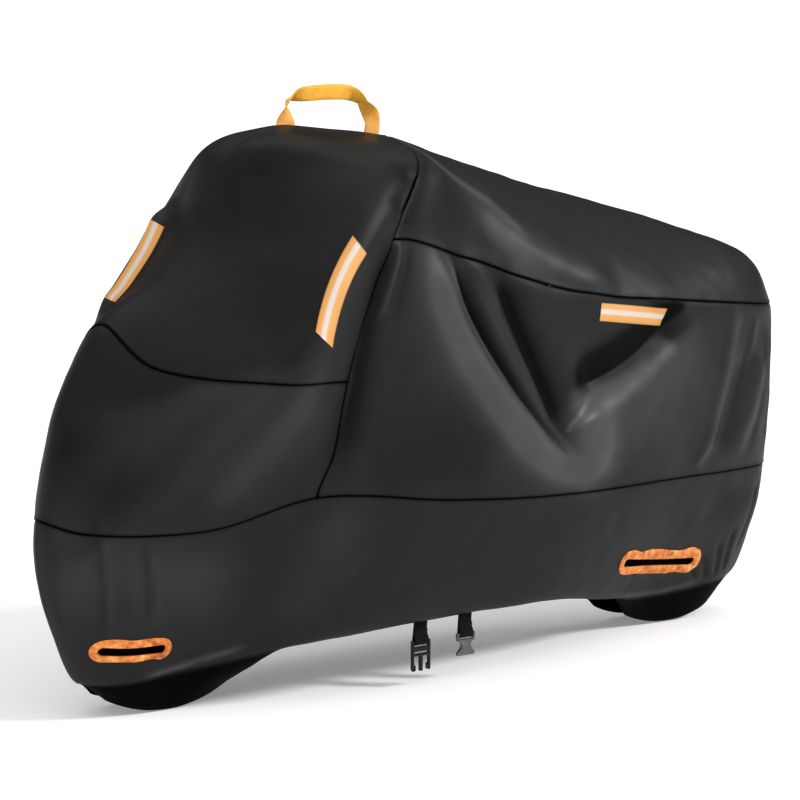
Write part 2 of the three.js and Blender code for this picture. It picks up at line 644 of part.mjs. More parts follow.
function socket() {
  const side = BUCKLE_WIDTH / 2;
  const outline = [
    [side, 0], [side, -SOCKET.collar], [SOCKET.waist / 2 + 2, -SOCKET.waistAt + 6],
    [SOCKET.waist / 2, -SOCKET.waistAt], [SOCKET.waist / 2 + 1, -SOCKET.waistAt - 6],
    [SOCKET.mouth / 2, -SOCKET.mouthAt], [SOCKET.mouth / 2, -SOCKET.length],
  ];
  return buckle(outline, [STRAP_HOLE], STRAPS.strap_rear);
}

for (const panel of PANELS) {
  const side = { skirt_left: 1, skirt_right: -1 }[panel.name];
  const solid = side ? skirtWithSlots(panel, side) : panelSheet(panel, -CLOTH, 0);
  add(panel.name, solid, INK);
}
for (const row of STRIPS) add(row.name, strip(row), ORANGE);
for (const slot of SLOTS) {
  add("slot_binding_" + slot.place + "_left", binding(panelNamed("skirt_left"), slot, 1), ORANGE);
  add("slot_binding_" + slot.place + "_right", binding(panelNamed("skirt_right"), slot, -1), ORANGE);
}
add("handle", handle(), AMBER);
for (const [name, row] of Object.entries(STRAPS)) add(name, strap(row), BLACK_WEBBING);
add("buckle_plug", plug(), BLACK_PLASTIC);
add("buckle_socket", socket(), GREY_PLASTIC);

// The origin goes to the middle of the cover's box in X and Y and to its lowest point.
const box = new THREE.Box3().setFromObject(group, true);
const centre = box.getCenter(new THREE.Vector3());
group.position.set(-centre.x, -centre.y, -box.min.z);
group.updateMatrixWorld(true);

export default group;
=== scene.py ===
import math
import bpy
import numpy as np
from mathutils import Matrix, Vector
from mathutils.bvhtree import BVHTree


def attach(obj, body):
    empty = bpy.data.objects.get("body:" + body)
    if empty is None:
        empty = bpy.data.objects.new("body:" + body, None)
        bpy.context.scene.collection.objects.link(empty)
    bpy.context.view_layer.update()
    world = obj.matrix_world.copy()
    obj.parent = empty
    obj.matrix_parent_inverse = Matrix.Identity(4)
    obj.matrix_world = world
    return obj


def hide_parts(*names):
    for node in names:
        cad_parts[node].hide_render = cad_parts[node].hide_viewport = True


# A fitted motorcycle cover of coated cloth as it hangs, hollow and open below, in metres.
# X runs forward, Y to the left and Z up. The tables' origin lies at ORIGIN in the frame.

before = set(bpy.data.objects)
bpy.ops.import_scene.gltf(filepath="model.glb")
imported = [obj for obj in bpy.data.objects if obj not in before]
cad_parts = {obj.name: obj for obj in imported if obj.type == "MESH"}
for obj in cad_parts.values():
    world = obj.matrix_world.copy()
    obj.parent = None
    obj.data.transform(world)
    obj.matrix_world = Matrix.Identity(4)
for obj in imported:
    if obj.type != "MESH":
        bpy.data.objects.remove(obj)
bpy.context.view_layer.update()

ORIGIN = np.array([0.007465, 0.00114, 0.009157])


# Objects and nodes
def add_object(name, data, at=(0, 0, 0), look=None):
    """Links an object to the scene, turned to look in a direction where one is given."""
    found = bpy.data.objects.new(name, data)
    found.location = at
    if look is not None:
        found.rotation_mode = "QUATERNION"
        found.rotation_quaternion = look.to_track_quat("-Z", "Y")
    bpy.context.scene.collection.objects.link(found)
    return found


def set_inputs(node, values):
    for key, value in values.items():
        node.inputs[key].default_value = value


def new_material(name, values):
    """A material, its node tree, and its shader with some constant values."""
    material = bpy.data.materials.new(name)
    material.use_nodes = True
    shader = material.node_tree.nodes["Principled BSDF"]
    set_inputs(shader, values)
    return material, material.node_tree, shader


def add_node(tree, kind, values=None, **settings):
    node = tree.nodes.new(kind)
    for key, value in settings.items():
        setattr(node, key, value)
    set_inputs(node, values or {})
    return node


def maths(tree, operation, a, b=None):
    node = add_node(tree, "ShaderNodeMath", operation=operation)
    for socket, value in zip(node.inputs, (a, b)):
        if isinstance(value, (int, float)):
            socket.default_value = value
        elif value is not None:
            tree.links.new(value, socket)
    return node.outputs[0]


def multiply(tree, first, *others):
    """One colour times the others."""
    for other in others:
        node = add_node(tree, "ShaderNodeMix", {"Factor": 1.0}, data_type="RGBA", blend_type="MULTIPLY")
        tree.links.new(first, node.inputs["A"])
        tree.links.new(other, node.inputs["B"])
        first = node.outputs["Result"]
    return first


def ramp(tree, value, stops):
    """A colour ramp. A stop is a place and a colour, or a place and one number for a grey."""
    node = tree.nodes.new("ShaderNodeValToRGB")
    tree.links.new(value, node.inputs[0])
    elements = node.color_ramp.elements
    while len(elements) < len(stops):
        elements.new(0.5)
    for element, (place, colour) in zip(elements, stops):
        element.position = place
        element.color = (*(colour if isinstance(colour, tuple) else (colour,) * 3), 1.0)
    return node.outputs[0]


def noise(tree, scale, detail, roughness=0.5):
    place = add_node(tree, "ShaderNodeTexCoord")
    node = add_node(tree, "ShaderNodeTexNoise", {"Scale": scale, "Detail": detail, "Roughness": roughness})
    tree.links.new(place.outputs["Object"], node.inputs["Vector"])
    return node.outputs[0]


def point_value(tree, name):
    return add_node(tree, "ShaderNodeAttribute", attribute_name=name).outputs["Fac"]


def add_bump(tree, shader, relief, strength, distance):
    bump = add_node(tree, "ShaderNodeBump", {"Strength": strength, "Distance": distance})
    tree.links.new(relief, bump.inputs["Height"])
    tree.links.new(bump.outputs[0], shader.inputs["Normal"])


def weave_height(tree, pitch_u, pitch_v):
    """A plain weave from the uv map, which is in metres."""
    uv = add_node(tree, "ShaderNodeUVMap", uv_map="cloth")
    parts = add_node(tree, "ShaderNodeSeparateXYZ")
    tree.links.new(uv.outputs[0], parts.inputs[0])
    waves = []
    for place, pitch in zip(parts.outputs, (pitch_u, pitch_v)):
        turn = maths(tree, "MULTIPLY", place, 2 * math.pi / pitch)
        waves.append(maths(tree, "SINE", turn))
    return maths(tree, "MULTIPLY", *waves), parts


def weave_over(tree, weave, share, relief):
    """A share of the weave on top of a coarser relief."""
    return maths(tree, "ADD", maths(tree, "MULTIPLY", weave, share), relief)


# Camera
PHOTO_SIZE = 800
FOCAL_PIXELS = 2394
SENSOR = 36.0
CAMERA_AT = (3.2752, 4.5430, 1.4170)
CAMERA_TURN = math.radians(55)
CAMERA_PITCH = math.radians(8.1365)


def make_camera():
    data = bpy.data.cameras.new("camera")
    data.sensor_width = SENSOR
    data.lens = FOCAL_PIXELS * SENSOR / PHOTO_SIZE
    flat = math.cos(CAMERA_PITCH)
    look = Vector((-math.cos(CAMERA_TURN) * flat, -math.sin(CAMERA_TURN) * flat, -math.sin(CAMERA_PITCH)))
    bpy.context.scene.camera = add_object("camera", data, CAMERA_AT, look)


# Light. The studio's brightness goes with the height, from below to straight above.
WORLD = [(0.0, 0.9), (0.035, 0.9), (0.07, 0.10), (0.45, 0.10), (0.75, 0.8), (1.0, 0.8)]
WORLD_STRENGTH = 1.35
SUN_TOWARD = (-0.66, 0.55, 0.51)
SUN_STRENGTH = 2.6
SUN_SPREAD = math.radians(12)
FRONT_LIGHT_AT = (4.2, 1.6, 1.0)
FRONT_LIGHT_AIM = (0.6, 0, 0.4)
FRONT_LIGHT_SIZE = 1.6
FRONT_LIGHT_POWER = 40


def make_front_light():
    data = bpy.data.lights.new("front", "AREA")
    data.shape = "RECTANGLE"
    data.size = data.size_y = FRONT_LIGHT_SIZE
    data.energy = FRONT_LIGHT_POWER
    add_object("front", data, FRONT_LIGHT_AT, Vector(FRONT_LIGHT_AIM) - Vector(FRONT_LIGHT_AT))


def make_sun():
    data = bpy.data.lights.new("sun", "SUN")
    data.energy = SUN_STRENGTH
    data.angle = SUN_SPREAD
    add_object("sun", data, look=-Vector(SUN_TOWARD))


def make_world():
    """A studio with a wide soft light overhead, a white horizon and dim walls between them."""
    world = bpy.data.worlds.new("studio")
    bpy.context.scene.world = world
    world.use_nodes = True
    tree = world.node_tree
    place = add_node(tree, "ShaderNodeTexCoord")
    parts = add_node(tree, "ShaderNodeSeparateXYZ")
    tree.links.new(place.outputs["Generated"], parts.inputs[0])
    background = tree.nodes["Background"]
    background.inputs["Strength"].default_value = WORLD_STRENGTH
    tree.links.new(ramp(tree, parts.outputs["Z"], WORLD), background.inputs["Color"])


# The cover's levels from the crown down. Belt, breast and band are seams.
LEVELS = ["ridge", "brow", "belt", "foot", "breast", "mid", "band", "axle", "hem"]

# The left half from the nose to the tail, a row for each section: where it meets each level.
SECTIONS = {
    "nose": [(0.470, 0, 1.278), (0.578, 0, 1.212), (0.652, 0, 1.045), (0.752, 0, 0.945), (0.882, 0, 0.862),
             (0.992, 0, 0.668), (1.042, 0, 0.452), (1.036, 0, 0.290), (0.962, 0, 0.086)],
    "cheek": [(0.430, 0, 1.281), (0.522, 0.168, 1.225), (0.610, 0.236, 1.036), (0.718, 0.214, 0.900),
              (0.849, 0.169, 0.782), (0.938, 0.126, 0.612), (0.986, 0.092, 0.430), (0.980, 0.084, 0.275),
              (0.893, 0.090, 0.092)],
    "shoulder": [(0.360, 0, 1.276), (0.411, 0.295, 1.199), (0.545, 0.415, 0.985), (0.604, 0.410, 0.862),
                 (0.660, 0.390, 0.757), (0.704, 0.300, 0.590), (0.742, 0.205, 0.427), (0.748, 0.165, 0.270),
                 (0.738, 0.104, 0.106)],
    "seam": [(0.140, 0, 1.250), (0.262, 0.300, 1.192), (0.386, 0.382, 1.044), (0.440, 0.366, 0.890),
             (0.481, 0.350, 0.744), (0.494, 0.318, 0.591), (0.524, 0.292, 0.488), (0.530, 0.258, 0.320),
             (0.520, 0.216, 0.150)],
    "waist": [(0.000, 0, 1.210), (0.090, 0.190, 1.148), (0.150, 0.318, 0.992), (0.150, 0.326, 0.860),
              (0.150, 0.330, 0.720), (0.150, 0.325, 0.590), (0.150, 0.300, 0.446), (0.150, 0.280, 0.300),
              (0.150, 0.226, 0.160)],
    "middle": [(-0.250, 0, 1.140), (-0.225, 0.140, 1.064), (-0.200, 0.268, 0.893), (-0.200, 0.276, 0.790),
               (-0.200, 0.285, 0.690), (-0.200, 0.295, 0.560), (-0.200, 0.285, 0.422), (-0.200, 0.268, 0.290),
               (-0.200, 0.214, 0.156)],
    "haunch": [(-0.600, 0, 1.053), (-0.575, 0.125, 0.980), (-0.550, 0.230, 0.850), (-0.550, 0.234, 0.750),
               (-0.550, 0.240, 0.650), (-0.550, 0.246, 0.530), (-0.550, 0.232, 0.414), (-0.555, 0.195, 0.280),
               (-0.560, 0.098, 0.094)],
    "corner": [(-0.890, 0, 0.969), (-0.915, 0.086, 0.923), (-0.958, 0.122, 0.810), (-0.963, 0.124, 0.730),
               (-0.962, 0.126, 0.640), (-0.960, 0.126, 0.520), (-0.946, 0.123, 0.398), (-0.925, 0.112, 0.268),
               (-0.853, 0.088, 0.109)],
    "tail": [(-0.970, 0, 0.934), (-1.005, 0, 0.885), (-1.026, 0, 0.808), (-1.030, 0, 0.730),
             (-1.030, 0, 0.640), (-1.028, 0, 0.520), (-1.016, 0, 0.396), (-0.998, 0, 0.270),
             (-0.942, 0, 0.112)],
}
SECTION_NAMES = list(SECTIONS)
COLUMN_STEPS = [18, 24, 20, 48, 48, 48, 40, 18]
ROW_STEPS = [18, 26, 22, 22, 22, 22, 20, 24, 8]
SEAM_LEVELS = [LEVELS.index(name) for name in ("belt", "breast", "band", "hem")]
SEAM_SECTION = SECTION_NAMES.index("seam")
NEAR_SEAM = (0.02, 0.05)  # extra rows and columns beside a seam, as shares of a span

# The hem
ARC_RADIUS = 0.310
ARC_CENTRES = (0.765, -0.685)
ARC_SPREAD = (0.165, 0.218)
ARC_DRAW = 0.16
ARC_LIFT = 0.009
ARC_MOUTH = 0.060
ARC_MOUTH_SHARE = 0.62
HEM_TURN = 0.034
HEM_NARROW = 0.35
HEM_RISE = 0.004

# The main folds, as on the solids: the first, middle and last point in (x, z), how far it stands out,
# and the widths of its upper and lower flanks. The far ones are on the right side.
# A front fold's points are in (y, z), and it is on the front alone.
FOLDS = [
    ("saddle ridge", (0.070, 1.150), (-0.120, 0.982), (-0.375, 0.888), 0.015, 0.062, 0.038),
    ("tail facet", (-0.850, 0.915), (-0.700, 0.890), (-0.560, 0.862), 0.003, 0.060, 0.050),
    ("front drape", (0.268, 1.040), (0.108, 0.735), (-0.215, 0.458), 0.025, 0.036, 0.092),
    ("drape groove", (0.190, 1.022), (0.026, 0.742), (-0.195, 0.492), -0.020, 0.027, 0.027),
    ("second drape", (0.132, 0.990), (-0.006, 0.730), (-0.205, 0.488), 0.014, 0.030, 0.026),
    ("second groove", (0.052, 0.968), (-0.050, 0.760), (-0.152, 0.552), -0.013, 0.052, 0.028),
    ("pocket", (-0.575, 0.838), (-0.405, 0.728), (-0.165, 0.660), -0.034, 0.084, 0.056),
    ("pocket lip", (-0.600, 0.770), (-0.400, 0.640), (-0.195, 0.590), 0.002, 0.050, 0.100),
    ("belly", (-0.212, 0.622), (-0.240, 0.545), (-0.235, 0.440), 0.015, 0.072, 0.066),
    ("rear groove", (-0.872, 0.735), (-0.782, 0.585), (-0.690, 0.440), -0.010, 0.032, 0.034),
    ("rear ridge", (-0.910, 0.690), (-0.850, 0.560), (-0.770, 0.440), 0.008, 0.030, 0.030),
    ("shoulder dip", (0.290, 1.196), (0.330, 1.150), (0.372, 1.094), -0.006, 0.034, 0.034),
    ("front sweep", (0.575, 0.752), (0.668, 0.618), (0.752, 0.472), 0.010, 0.062, 0.062),
    ("skirt crease", (0.962, 0.420), (0.930, 0.330), (0.905, 0.215), -0.006, 0.030, 0.034),
    ("skirt swell", (0.520, 0.460), (0.470, 0.380), (0.400, 0.290), 0.005, 0.060, 0.060),
]
FAR_FOLDS = [
    ("far saddle ridge", (0.040, 1.145), (-0.150, 0.975), (-0.420, 0.884), 0.012, 0.060, 0.044),
    ("far drape", (0.250, 1.030), (0.070, 0.745), (-0.240, 0.470), 0.020, 0.060, 0.090),
    ("far groove", (0.150, 0.990), (-0.040, 0.730), (-0.260, 0.520), -0.015, 0.060, 0.046),
    ("far pocket", (-0.600, 0.820), (-0.430, 0.716), (-0.250, 0.650), -0.020, 0.100, 0.060),
    ("far belly", (-0.300, 0.620), (-0.330, 0.540), (-0.320, 0.450), 0.012, 0.080, 0.070),
]
FAR_FRONT_FOLDS = [
    ("far front lip", (-0.212, 1.115), (-0.202, 0.970), (-0.152, 0.825), 0.028, 0.038, 0.044),
]
FRONT_SPREAD = (0.430, 0.520)  # where the front begins along X
FOLD_STEPS = 24
FOLD_FADE = 0.22
CENTRE_FADE = 0.060
RIDGE_ROUND = 0.012
BELT_FADE = 6  # rows over which a pocket's folds end at the belt
PAINTED_LIGHT_HEIGHT = 0.050  # a fold this high adds as much painted light, or a groove as much painted shade, as a row of 1 in the painted light table
RIPPLES = [(3, 0.16, 0.0012), (4, 0.07, 0.0004)]  # seed, length and height

# Smaller creases, in the same columns.
CREASES = [
    ("beside the seam", (0.362, 1.050), (0.382, 0.960), (0.402, 0.870), 0.0055, 0.011, 0.013),
    ("beside the seam low", (0.330, 1.046), (0.348, 0.960), (0.370, 0.860), -0.0050, 0.014, 0.014),
    ("seam valley", (0.405, 1.030), (0.446, 0.840), (0.486, 0.560), -0.0050, 0.012, 0.020),
    ("drape edge", (0.205, 1.030), (0.036, 0.742), (-0.185, 0.492), -0.0060, 0.008, 0.010),
    ("second edge", (0.072, 0.975), (-0.040, 0.765), (-0.160, 0.530), -0.0050, 0.016, 0.008),
    ("pocket crease", (-0.560, 0.836), (-0.412, 0.722), (-0.180, 0.662), -0.0030, 0.012, 0.009),
    ("rear pleat", (-0.792, 0.830), (-0.728, 0.630), (-0.635, 0.430), 0.0045, 0.012, 0.020),
    ("rear pleat low", (-0.710, 0.560), (-0.668, 0.490), (-0.615, 0.430), 0.0050, 0.010, 0.014),
    ("tail pleat", (-0.872, 0.800), (-0.842, 0.690), (-0.790, 0.560), 0.0040, 0.010, 0.012),
    ("skirt fold", (0.958, 0.430), (0.944, 0.340), (0.938, 0.215), -0.0040, 0.007, 0.008),
    ("second skirt fold", (0.915, 0.420), (0.903, 0.330), (0.893, 0.200), -0.0030, 0.007, 0.009),
    ("third skirt fold", (0.868, 0.380), (0.852, 0.320), (0.848, 0.240), -0.0050, 0.010, 0.012),
    ("front hem gather", (0.905, 0.130), (0.870, 0.108), (0.835, 0.098), -0.0040, 0.006, 0.006),
    ("second hem gather", (0.760, 0.150), (0.735, 0.128), (0.705, 0.118), -0.0045, 0.006, 0.006),
    ("rear gather", (-0.700, 0.165), (-0.722, 0.140), (-0.742, 0.112), -0.0050, 0.006, 0.007),
    ("second rear gather", (-0.735, 0.190), (-0.760, 0.150), (-0.775, 0.112), -0.0050, 0.007, 0.007),
    ("third rear gather", (-0.790, 0.215), (-0.803, 0.165), (-0.806, 0.115), -0.0050, 0.006, 0.007),
    ("fourth rear gather", (-0.835, 0.250), (-0.838, 0.185), (-0.832, 0.120), -0.0050, 0.007, 0.007),
    ("tail skirt fold", (-0.925, 0.370), (-0.905, 0.270), (-0.868, 0.160), -0.0050, 0.010, 0.010),
]
FRONT_CREASES = [
    ("nose skirt fold", (0.040, 0.400), (0.038, 0.310), (0.034, 0.200), -0.0040, 0.008, 0.008),
    ("brow line", (0.300, 1.216), (0.110, 1.236), (-0.060, 1.228), 0.0040, 0.020, 0.014),
]

# Painted highlights and painted shade on the coat, in its colour and its gloss: where it is painted lighter
# or darker than the rest, in the same columns.
PAINTED_LIGHTS = [
    ("saddle", (0.140, 1.240), (-0.080, 1.008), (-0.455, 0.862), 0.18, 0.022, 0.026),
    ("saddle top", (0.190, 1.320), (0.045, 1.142), (-0.100, 1.000), 0.95, 0.012, 0.014),
    ("saddle front", (0.305, 1.225), (0.320, 1.130), (0.365, 1.050), -0.55, 0.050, 0.050),
    ("tail", (-0.980, 0.925), (-0.800, 0.900), (-0.590, 0.862), 0.08, 0.050, 0.036),
    ("drape", (0.300, 1.110), (0.086, 0.700), (-0.270, 0.434), 1.30, 0.026, 0.048),
    ("drape edge", (0.248, 1.060), (0.062, 0.748), (-0.180, 0.480), 1.20, 0.016, 0.012),
    ("drape low", (0.120, 0.760), (-0.035, 0.560), (-0.300, 0.430), 0.45, 0.030, 0.034),
    ("drape groove", (0.215, 1.045), (0.034, 0.738), (-0.195, 0.478), -1.10, 0.011, 0.009),
    ("second drape", (0.155, 1.010), (-0.004, 0.730), (-0.210, 0.478), 0.50, 0.011, 0.011),
    ("second groove", (0.085, 0.990), (-0.045, 0.760), (-0.160, 0.520), -0.95, 0.042, 0.014),
    ("pocket", (-0.620, 0.880), (-0.412, 0.734), (-0.140, 0.664), -1.60, 0.052, 0.008),
    ("pocket lip", (-0.660, 0.810), (-0.430, 0.690), (-0.100, 0.615), 0.62, 0.012, 0.140),
    ("belly", (-0.190, 0.710), (-0.250, 0.570), (-0.235, 0.380), 0.80, 0.062, 0.062),
    ("behind the pocket", (-0.420, 0.640), (-0.500, 0.560), (-0.600, 0.460), 0.14, 0.110, 0.110),
    ("rear pleat", (-0.802, 0.870), (-0.735, 0.630), (-0.620, 0.400), 0.40, 0.016, 0.024),
    ("rear groove", (-0.905, 0.800), (-0.920, 0.610), (-0.820, 0.415), -0.80, 0.024, 0.022),
    ("tail groove", (-0.960, 0.800), (-0.968, 0.600), (-0.930, 0.400), -1.00, 0.024, 0.024),
    ("seam valley", (0.392, 1.080), (0.440, 0.830), (0.490, 0.480), -0.75, 0.045, 0.045),
    ("beside the seam", (0.362, 1.060), (0.384, 0.960), (0.410, 0.850), 0.60, 0.008, 0.010),
    ("low side", (0.440, 0.520), (0.230, 0.540), (0.060, 0.480), -0.35, 0.120, 0.060),
    ("front sweep", (0.540, 0.800), (0.660, 0.645), (0.760, 0.430), 0.26, 0.030, 0.034),
    ("second front sweep", (0.640, 0.800), (0.755, 0.655), (0.860, 0.440), 0.16, 0.030, 0.034),
    ("brow shade", (0.280, 1.240), (0.480, 1.236), (0.600, 1.165), -0.42, 0.030, 0.036),
    ("nose shade", (1.020, 0.680), (0.980, 0.560), (0.900, 0.440), -0.50, 0.070, 0.090),
    ("skirt swell", (0.420, 0.500), (0.500, 0.340), (0.580, 0.180), 0.14, 0.050, 0.060),
    ("skirt fold", (0.968, 0.480), (0.950, 0.340), (0.940, 0.180), -0.20, 0.007, 0.009),
    ("skirt fold light", (0.955, 0.480), (0.936, 0.340), (0.924, 0.180), 0.14, 0.008, 0.010),
    ("third skirt fold", (0.872, 0.420), (0.853, 0.320), (0.848, 0.210), -0.24, 0.010, 0.012),
    ("third skirt fold light", (0.856, 0.400), (0.837, 0.310), (0.830, 0.200), 0.14, 0.010, 0.012),
    ("front lower shade", (0.860, 0.800), (0.890, 0.640), (0.900, 0.480), -0.22, 0.070, 0.070),
    ("rear skirt", (-0.960, 0.400), (-0.850, 0.330), (-0.700, 0.330), -0.45, 0.080, 0.100),
    ("front skirt", (0.990, 0.400), (0.880, 0.340), (0.620, 0.330), 0.40, 0.070, 0.110),
    ("front hem", (0.620, 0.160), (0.735, 0.117), (0.860, 0.096), 0.90, 0.009, 0.006),
    ("rear hem", (-0.400, 0.130), (-0.600, 0.098), (-0.800, 0.124), 0.70, 0.008, 0.006),
]


def smooth(low, high, value):
    share = np.clip((value - low) / (high - low), 0.0, 1.0)
    return share * share * (3 - 2 * share)


def ticks(count, first, last):
    """Parameters along one span, closer together beside a seam at its start or end."""
    found = list(np.arange(count) / count)
    found += [near for near in NEAR_SEAM if first]
    found += [1 - near for near in NEAR_SEAM if last]
    return np.unique(np.round(found, 6))


def through(points, closed, spans):
    """Centripetal Catmull-Rom curves through points, shape (controls, curves, 3)."""
    count = len(points)
    found = []
    for i, at in enumerate(spans):
        p1, p2 = points[i], points[(i + 1) % count]
        p0 = points[i - 1] if closed or i > 0 else 2 * p1 - p2
        p3 = points[(i + 2) % count] if closed or i + 2 < count else 2 * p2 - p1
        d0, d1, d2 = (np.sqrt(np.linalg.norm(b - a, axis=-1, keepdims=True)) for a, b in
                      ((p0, p1), (p1, p2), (p2, p3)))
        m1 = ((p1 - p0) / d0 - (p2 - p0) / (d0 + d1) + (p2 - p1) / d1) * d1
        m2 = ((p2 - p1) / d1 - (p3 - p1) / (d1 + d2) + (p3 - p2) / d2) * d1
        t = at[:, None, None]
        found.append(p1 + t * m1 + t * t * (3 * (p2 - p1) - 2 * m1 - m2) + t**3 * (2 * (p1 - p2) + m1 + m2))
    if not closed:
        found.append(points[-1:])
    return np.concatenate(found)


def hem_edge(hem):
    """The hem's free edge, turned under where it is straight and drawn in on the round stretches."""
    x, y, z = hem.T
    centre = np.where(np.abs(x - ARC_CENTRES[0]) < np.abs(x - ARC_CENTRES[1]), *ARC_CENTRES)
    along = x - centre
    round_share = 1 - smooth(*ARC_SPREAD, np.abs(along))
    reach = np.abs(y)
    new_x = x - ARC_DRAW * round_share * along
    mouth = np.minimum(ARC_MOUTH, ARC_MOUTH_SHARE * reach)
    new_y = (1 - round_share) * np.maximum(reach - HEM_TURN, HEM_NARROW * reach) + round_share * mouth
    rise = ARC_RADIUS - np.sqrt(np.maximum(ARC_RADIUS**2 - (new_x - centre) ** 2, 0))
    new_z = (1 - round_share) * (z + HEM_RISE) + round_share * np.minimum(rise + ARC_LIFT, z)
    return np.stack([new_x, np.sign(y) * new_y, new_z], axis=1)


def mirror_columns(count):
    """For each column, the one across the centre line from it."""
    return (-np.arange(count)) % count


def grid_normals(points):
    across = np.roll(points, -1, 0) - np.roll(points, 1, 0)
    down = np.gradient(points, axis=1)
    normals = np.cross(down, across)
    normals[:, 0] = normals[:, 0] + normals[mirror_columns(len(points)), 0]
    for column in (0, len(points) // 2):
        normals[column, 0] = normals[column, 1]
    normals[:, 0, 1] = 0
    return normals / np.linalg.norm(normals, axis=-1, keepdims=True)


def fold_height(points, row, side, front):
    """How far one fold moves the cloth, by the nearest place on its curve."""
    first, middle, last = np.array(row[1:4])
    out, upper, lower = row[4:]
    control = 2 * middle - (first + last) / 2
    t = np.linspace(0, 1, FOLD_STEPS + 1)[:, None]
    curve = (1 - t) ** 2 * first + 2 * t * (1 - t) * control + t**2 * last
    height = np.zeros(len(points))
    reach = 3 * max(upper, lower)
    flat = points[:, [1, 2] if front else [0, 2]]
    near = np.all((flat > curve.min(0) - reach) & (flat < curve.max(0) + reach), axis=1)
    near &= points[:, 1] * side > 0
    flat = flat[near]
    nearest = np.full(len(flat), np.inf)
    share = np.zeros(len(flat))
    above = np.zeros(len(flat), bool)
    for i in range(FOLD_STEPS):
        step = curve[i + 1] - curve[i]
        offset = flat - curve[i]
        along = np.clip(offset @ step / (step @ step), 0, 1)
        gap = offset - along[:, None] * step
        length = np.linalg.norm(gap, axis=1)
        closer = length < nearest
        nearest[closer] = length[closer]
        share[closer] = (i + along[closer]) / FOLD_STEPS
        above[closer] = gap[closer, 1] > 0
    span = nearest / np.where(above, upper, lower)
    ends = smooth(0, FOLD_FADE, share) * smooth(0, FOLD_FADE, 1 - share)
    sides = smooth(0, CENTRE_FADE, points[near, 1] * side)
    if front:
        sides = sides * smooth(*FRONT_SPREAD, points[near, 0])
    height[near] = out * sides * ends * np.exp(-span * span)
    return height


def ripple(points, seed, length, height, waves=14):
    """Soft unevenness: a few seeded plane waves of about one length."""
    rng = np.random.default_rng(seed)
    total = np.zeros(points.shape[:-1])
    for _ in range(waves):
        direction = rng.normal(size=3)
        direction *= 2 * math.pi / (np.linalg.norm(direction) * length * rng.uniform(0.7, 1.4))
        total += np.sin(points @ direction + rng.uniform(0, 2 * math.pi))
    return height * total / math.sqrt(waves)


def run_along(grid, axis):
    """Lengths along one direction of a grid of points, from its first line."""
    steps = np.linalg.norm(np.diff(grid, axis=axis), axis=2)
    start = np.zeros_like(np.take(steps, [0], axis))
    return np.concatenate([start, np.cumsum(steps, axis)], axis)


def soften_ridge(points):
    """Rounds the kink that the two halves make where they meet on the crown."""
    run = run_along(points, 1)
    slope = (points[:, 0, 2] - points[:, 1, 2]) / run[:, 1]
    points[..., 2] -= slope[:, None] * RIDGE_ROUND * np.exp(-run / RIDGE_ROUND)


def make_surface():
    left = np.array([SECTIONS[name] for name in SECTION_NAMES], float)
    right = left[-2:0:-1] * (1, -1, 1)
    ring = np.concatenate([left, right])
    half = [ticks(n, k == SEAM_SECTION, k + 1 == SEAM_SECTION) for k, n in enumerate(COLUMN_STEPS)]
    other = [np.unique(np.round(1 - np.append(t, 1.0), 6))[:-1] for t in reversed(half)]
    rings = through(ring, True, half + other)
    rings[:, 0, 1] = 0
    rings = np.concatenate([rings, hem_edge(rings[:, -1])[:, None]], axis=1)
    spans = [ticks(n, k in SEAM_LEVELS, k + 1 in SEAM_LEVELS) for k, n in enumerate(ROW_STEPS)]
    points = through(rings.transpose(1, 0, 2), False, spans).transpose(1, 0, 2)
    columns = np.concatenate([[0], np.cumsum([len(t) for t in half])])
    rows = np.concatenate([[0], np.cumsum([len(t) for t in spans])])
    return points, columns, rows


def folds_height(points, rows, pocket_share, side=1, front=False):
    """The heights of several folds together, those of the pocket with their share."""
    total = np.zeros(len(points))
    for row in rows:
        share = pocket_share if row[0].startswith("pocket") else 1.0
        total += share * fold_height(points, row, side, front)
    return total


def fold_surface():
    """The folded surface, its painted light from 0, the darkest painted shade, through 0.5 to 1, the
    brightest painted highlight, and where the sections and levels lie.
    """
    points, columns, rows = make_surface()
    soften_ridge(points)
    shape = points.shape[:2]
    under_belt = np.arange(shape[1]) - rows[LEVELS.index("belt")] + 1.0
    pocket_share = np.broadcast_to(smooth(0, BELT_FADE, under_belt), shape).ravel()
    flat = points.reshape(-1, 3)
    height = folds_height(flat, FOLDS + CREASES, pocket_share)
    height += folds_height(flat, FAR_FOLDS, pocket_share, side=-1)
    height += folds_height(flat, FRONT_CREASES, pocket_share, front=True)
    height += folds_height(flat, FAR_FRONT_FOLDS, pocket_share, side=-1, front=True)
    height = height.reshape(shape)
    painted_light = folds_height(flat, PAINTED_LIGHTS, pocket_share).reshape(shape)
    painted_light = np.clip(0.5 + 0.5 * (painted_light + height / PAINTED_LIGHT_HEIGHT), 0, 1)
    height += sum(ripple(points, *row) for row in RIPPLES)
    centre = np.minimum(np.arange(shape[0]), mirror_columns(shape[0]))
    height[:, 0] = height[centre, 0]
    return points + grid_normals(points) * height[..., None] - ORIGIN, painted_light, columns, rows


surface, painted_light, SECTION_COLUMNS, LEVEL_ROWS = fold_surface()
surface_normals = grid_normals(surface)
SIZE, ROWS = surface.shape[:2]
HALF = SIZE // 2
SEAM_COLUMN = int(SECTION_COLUMNS[SEAM_SECTION])


def level(name):
    return int(LEVEL_ROWS[LEVELS.index(name)])
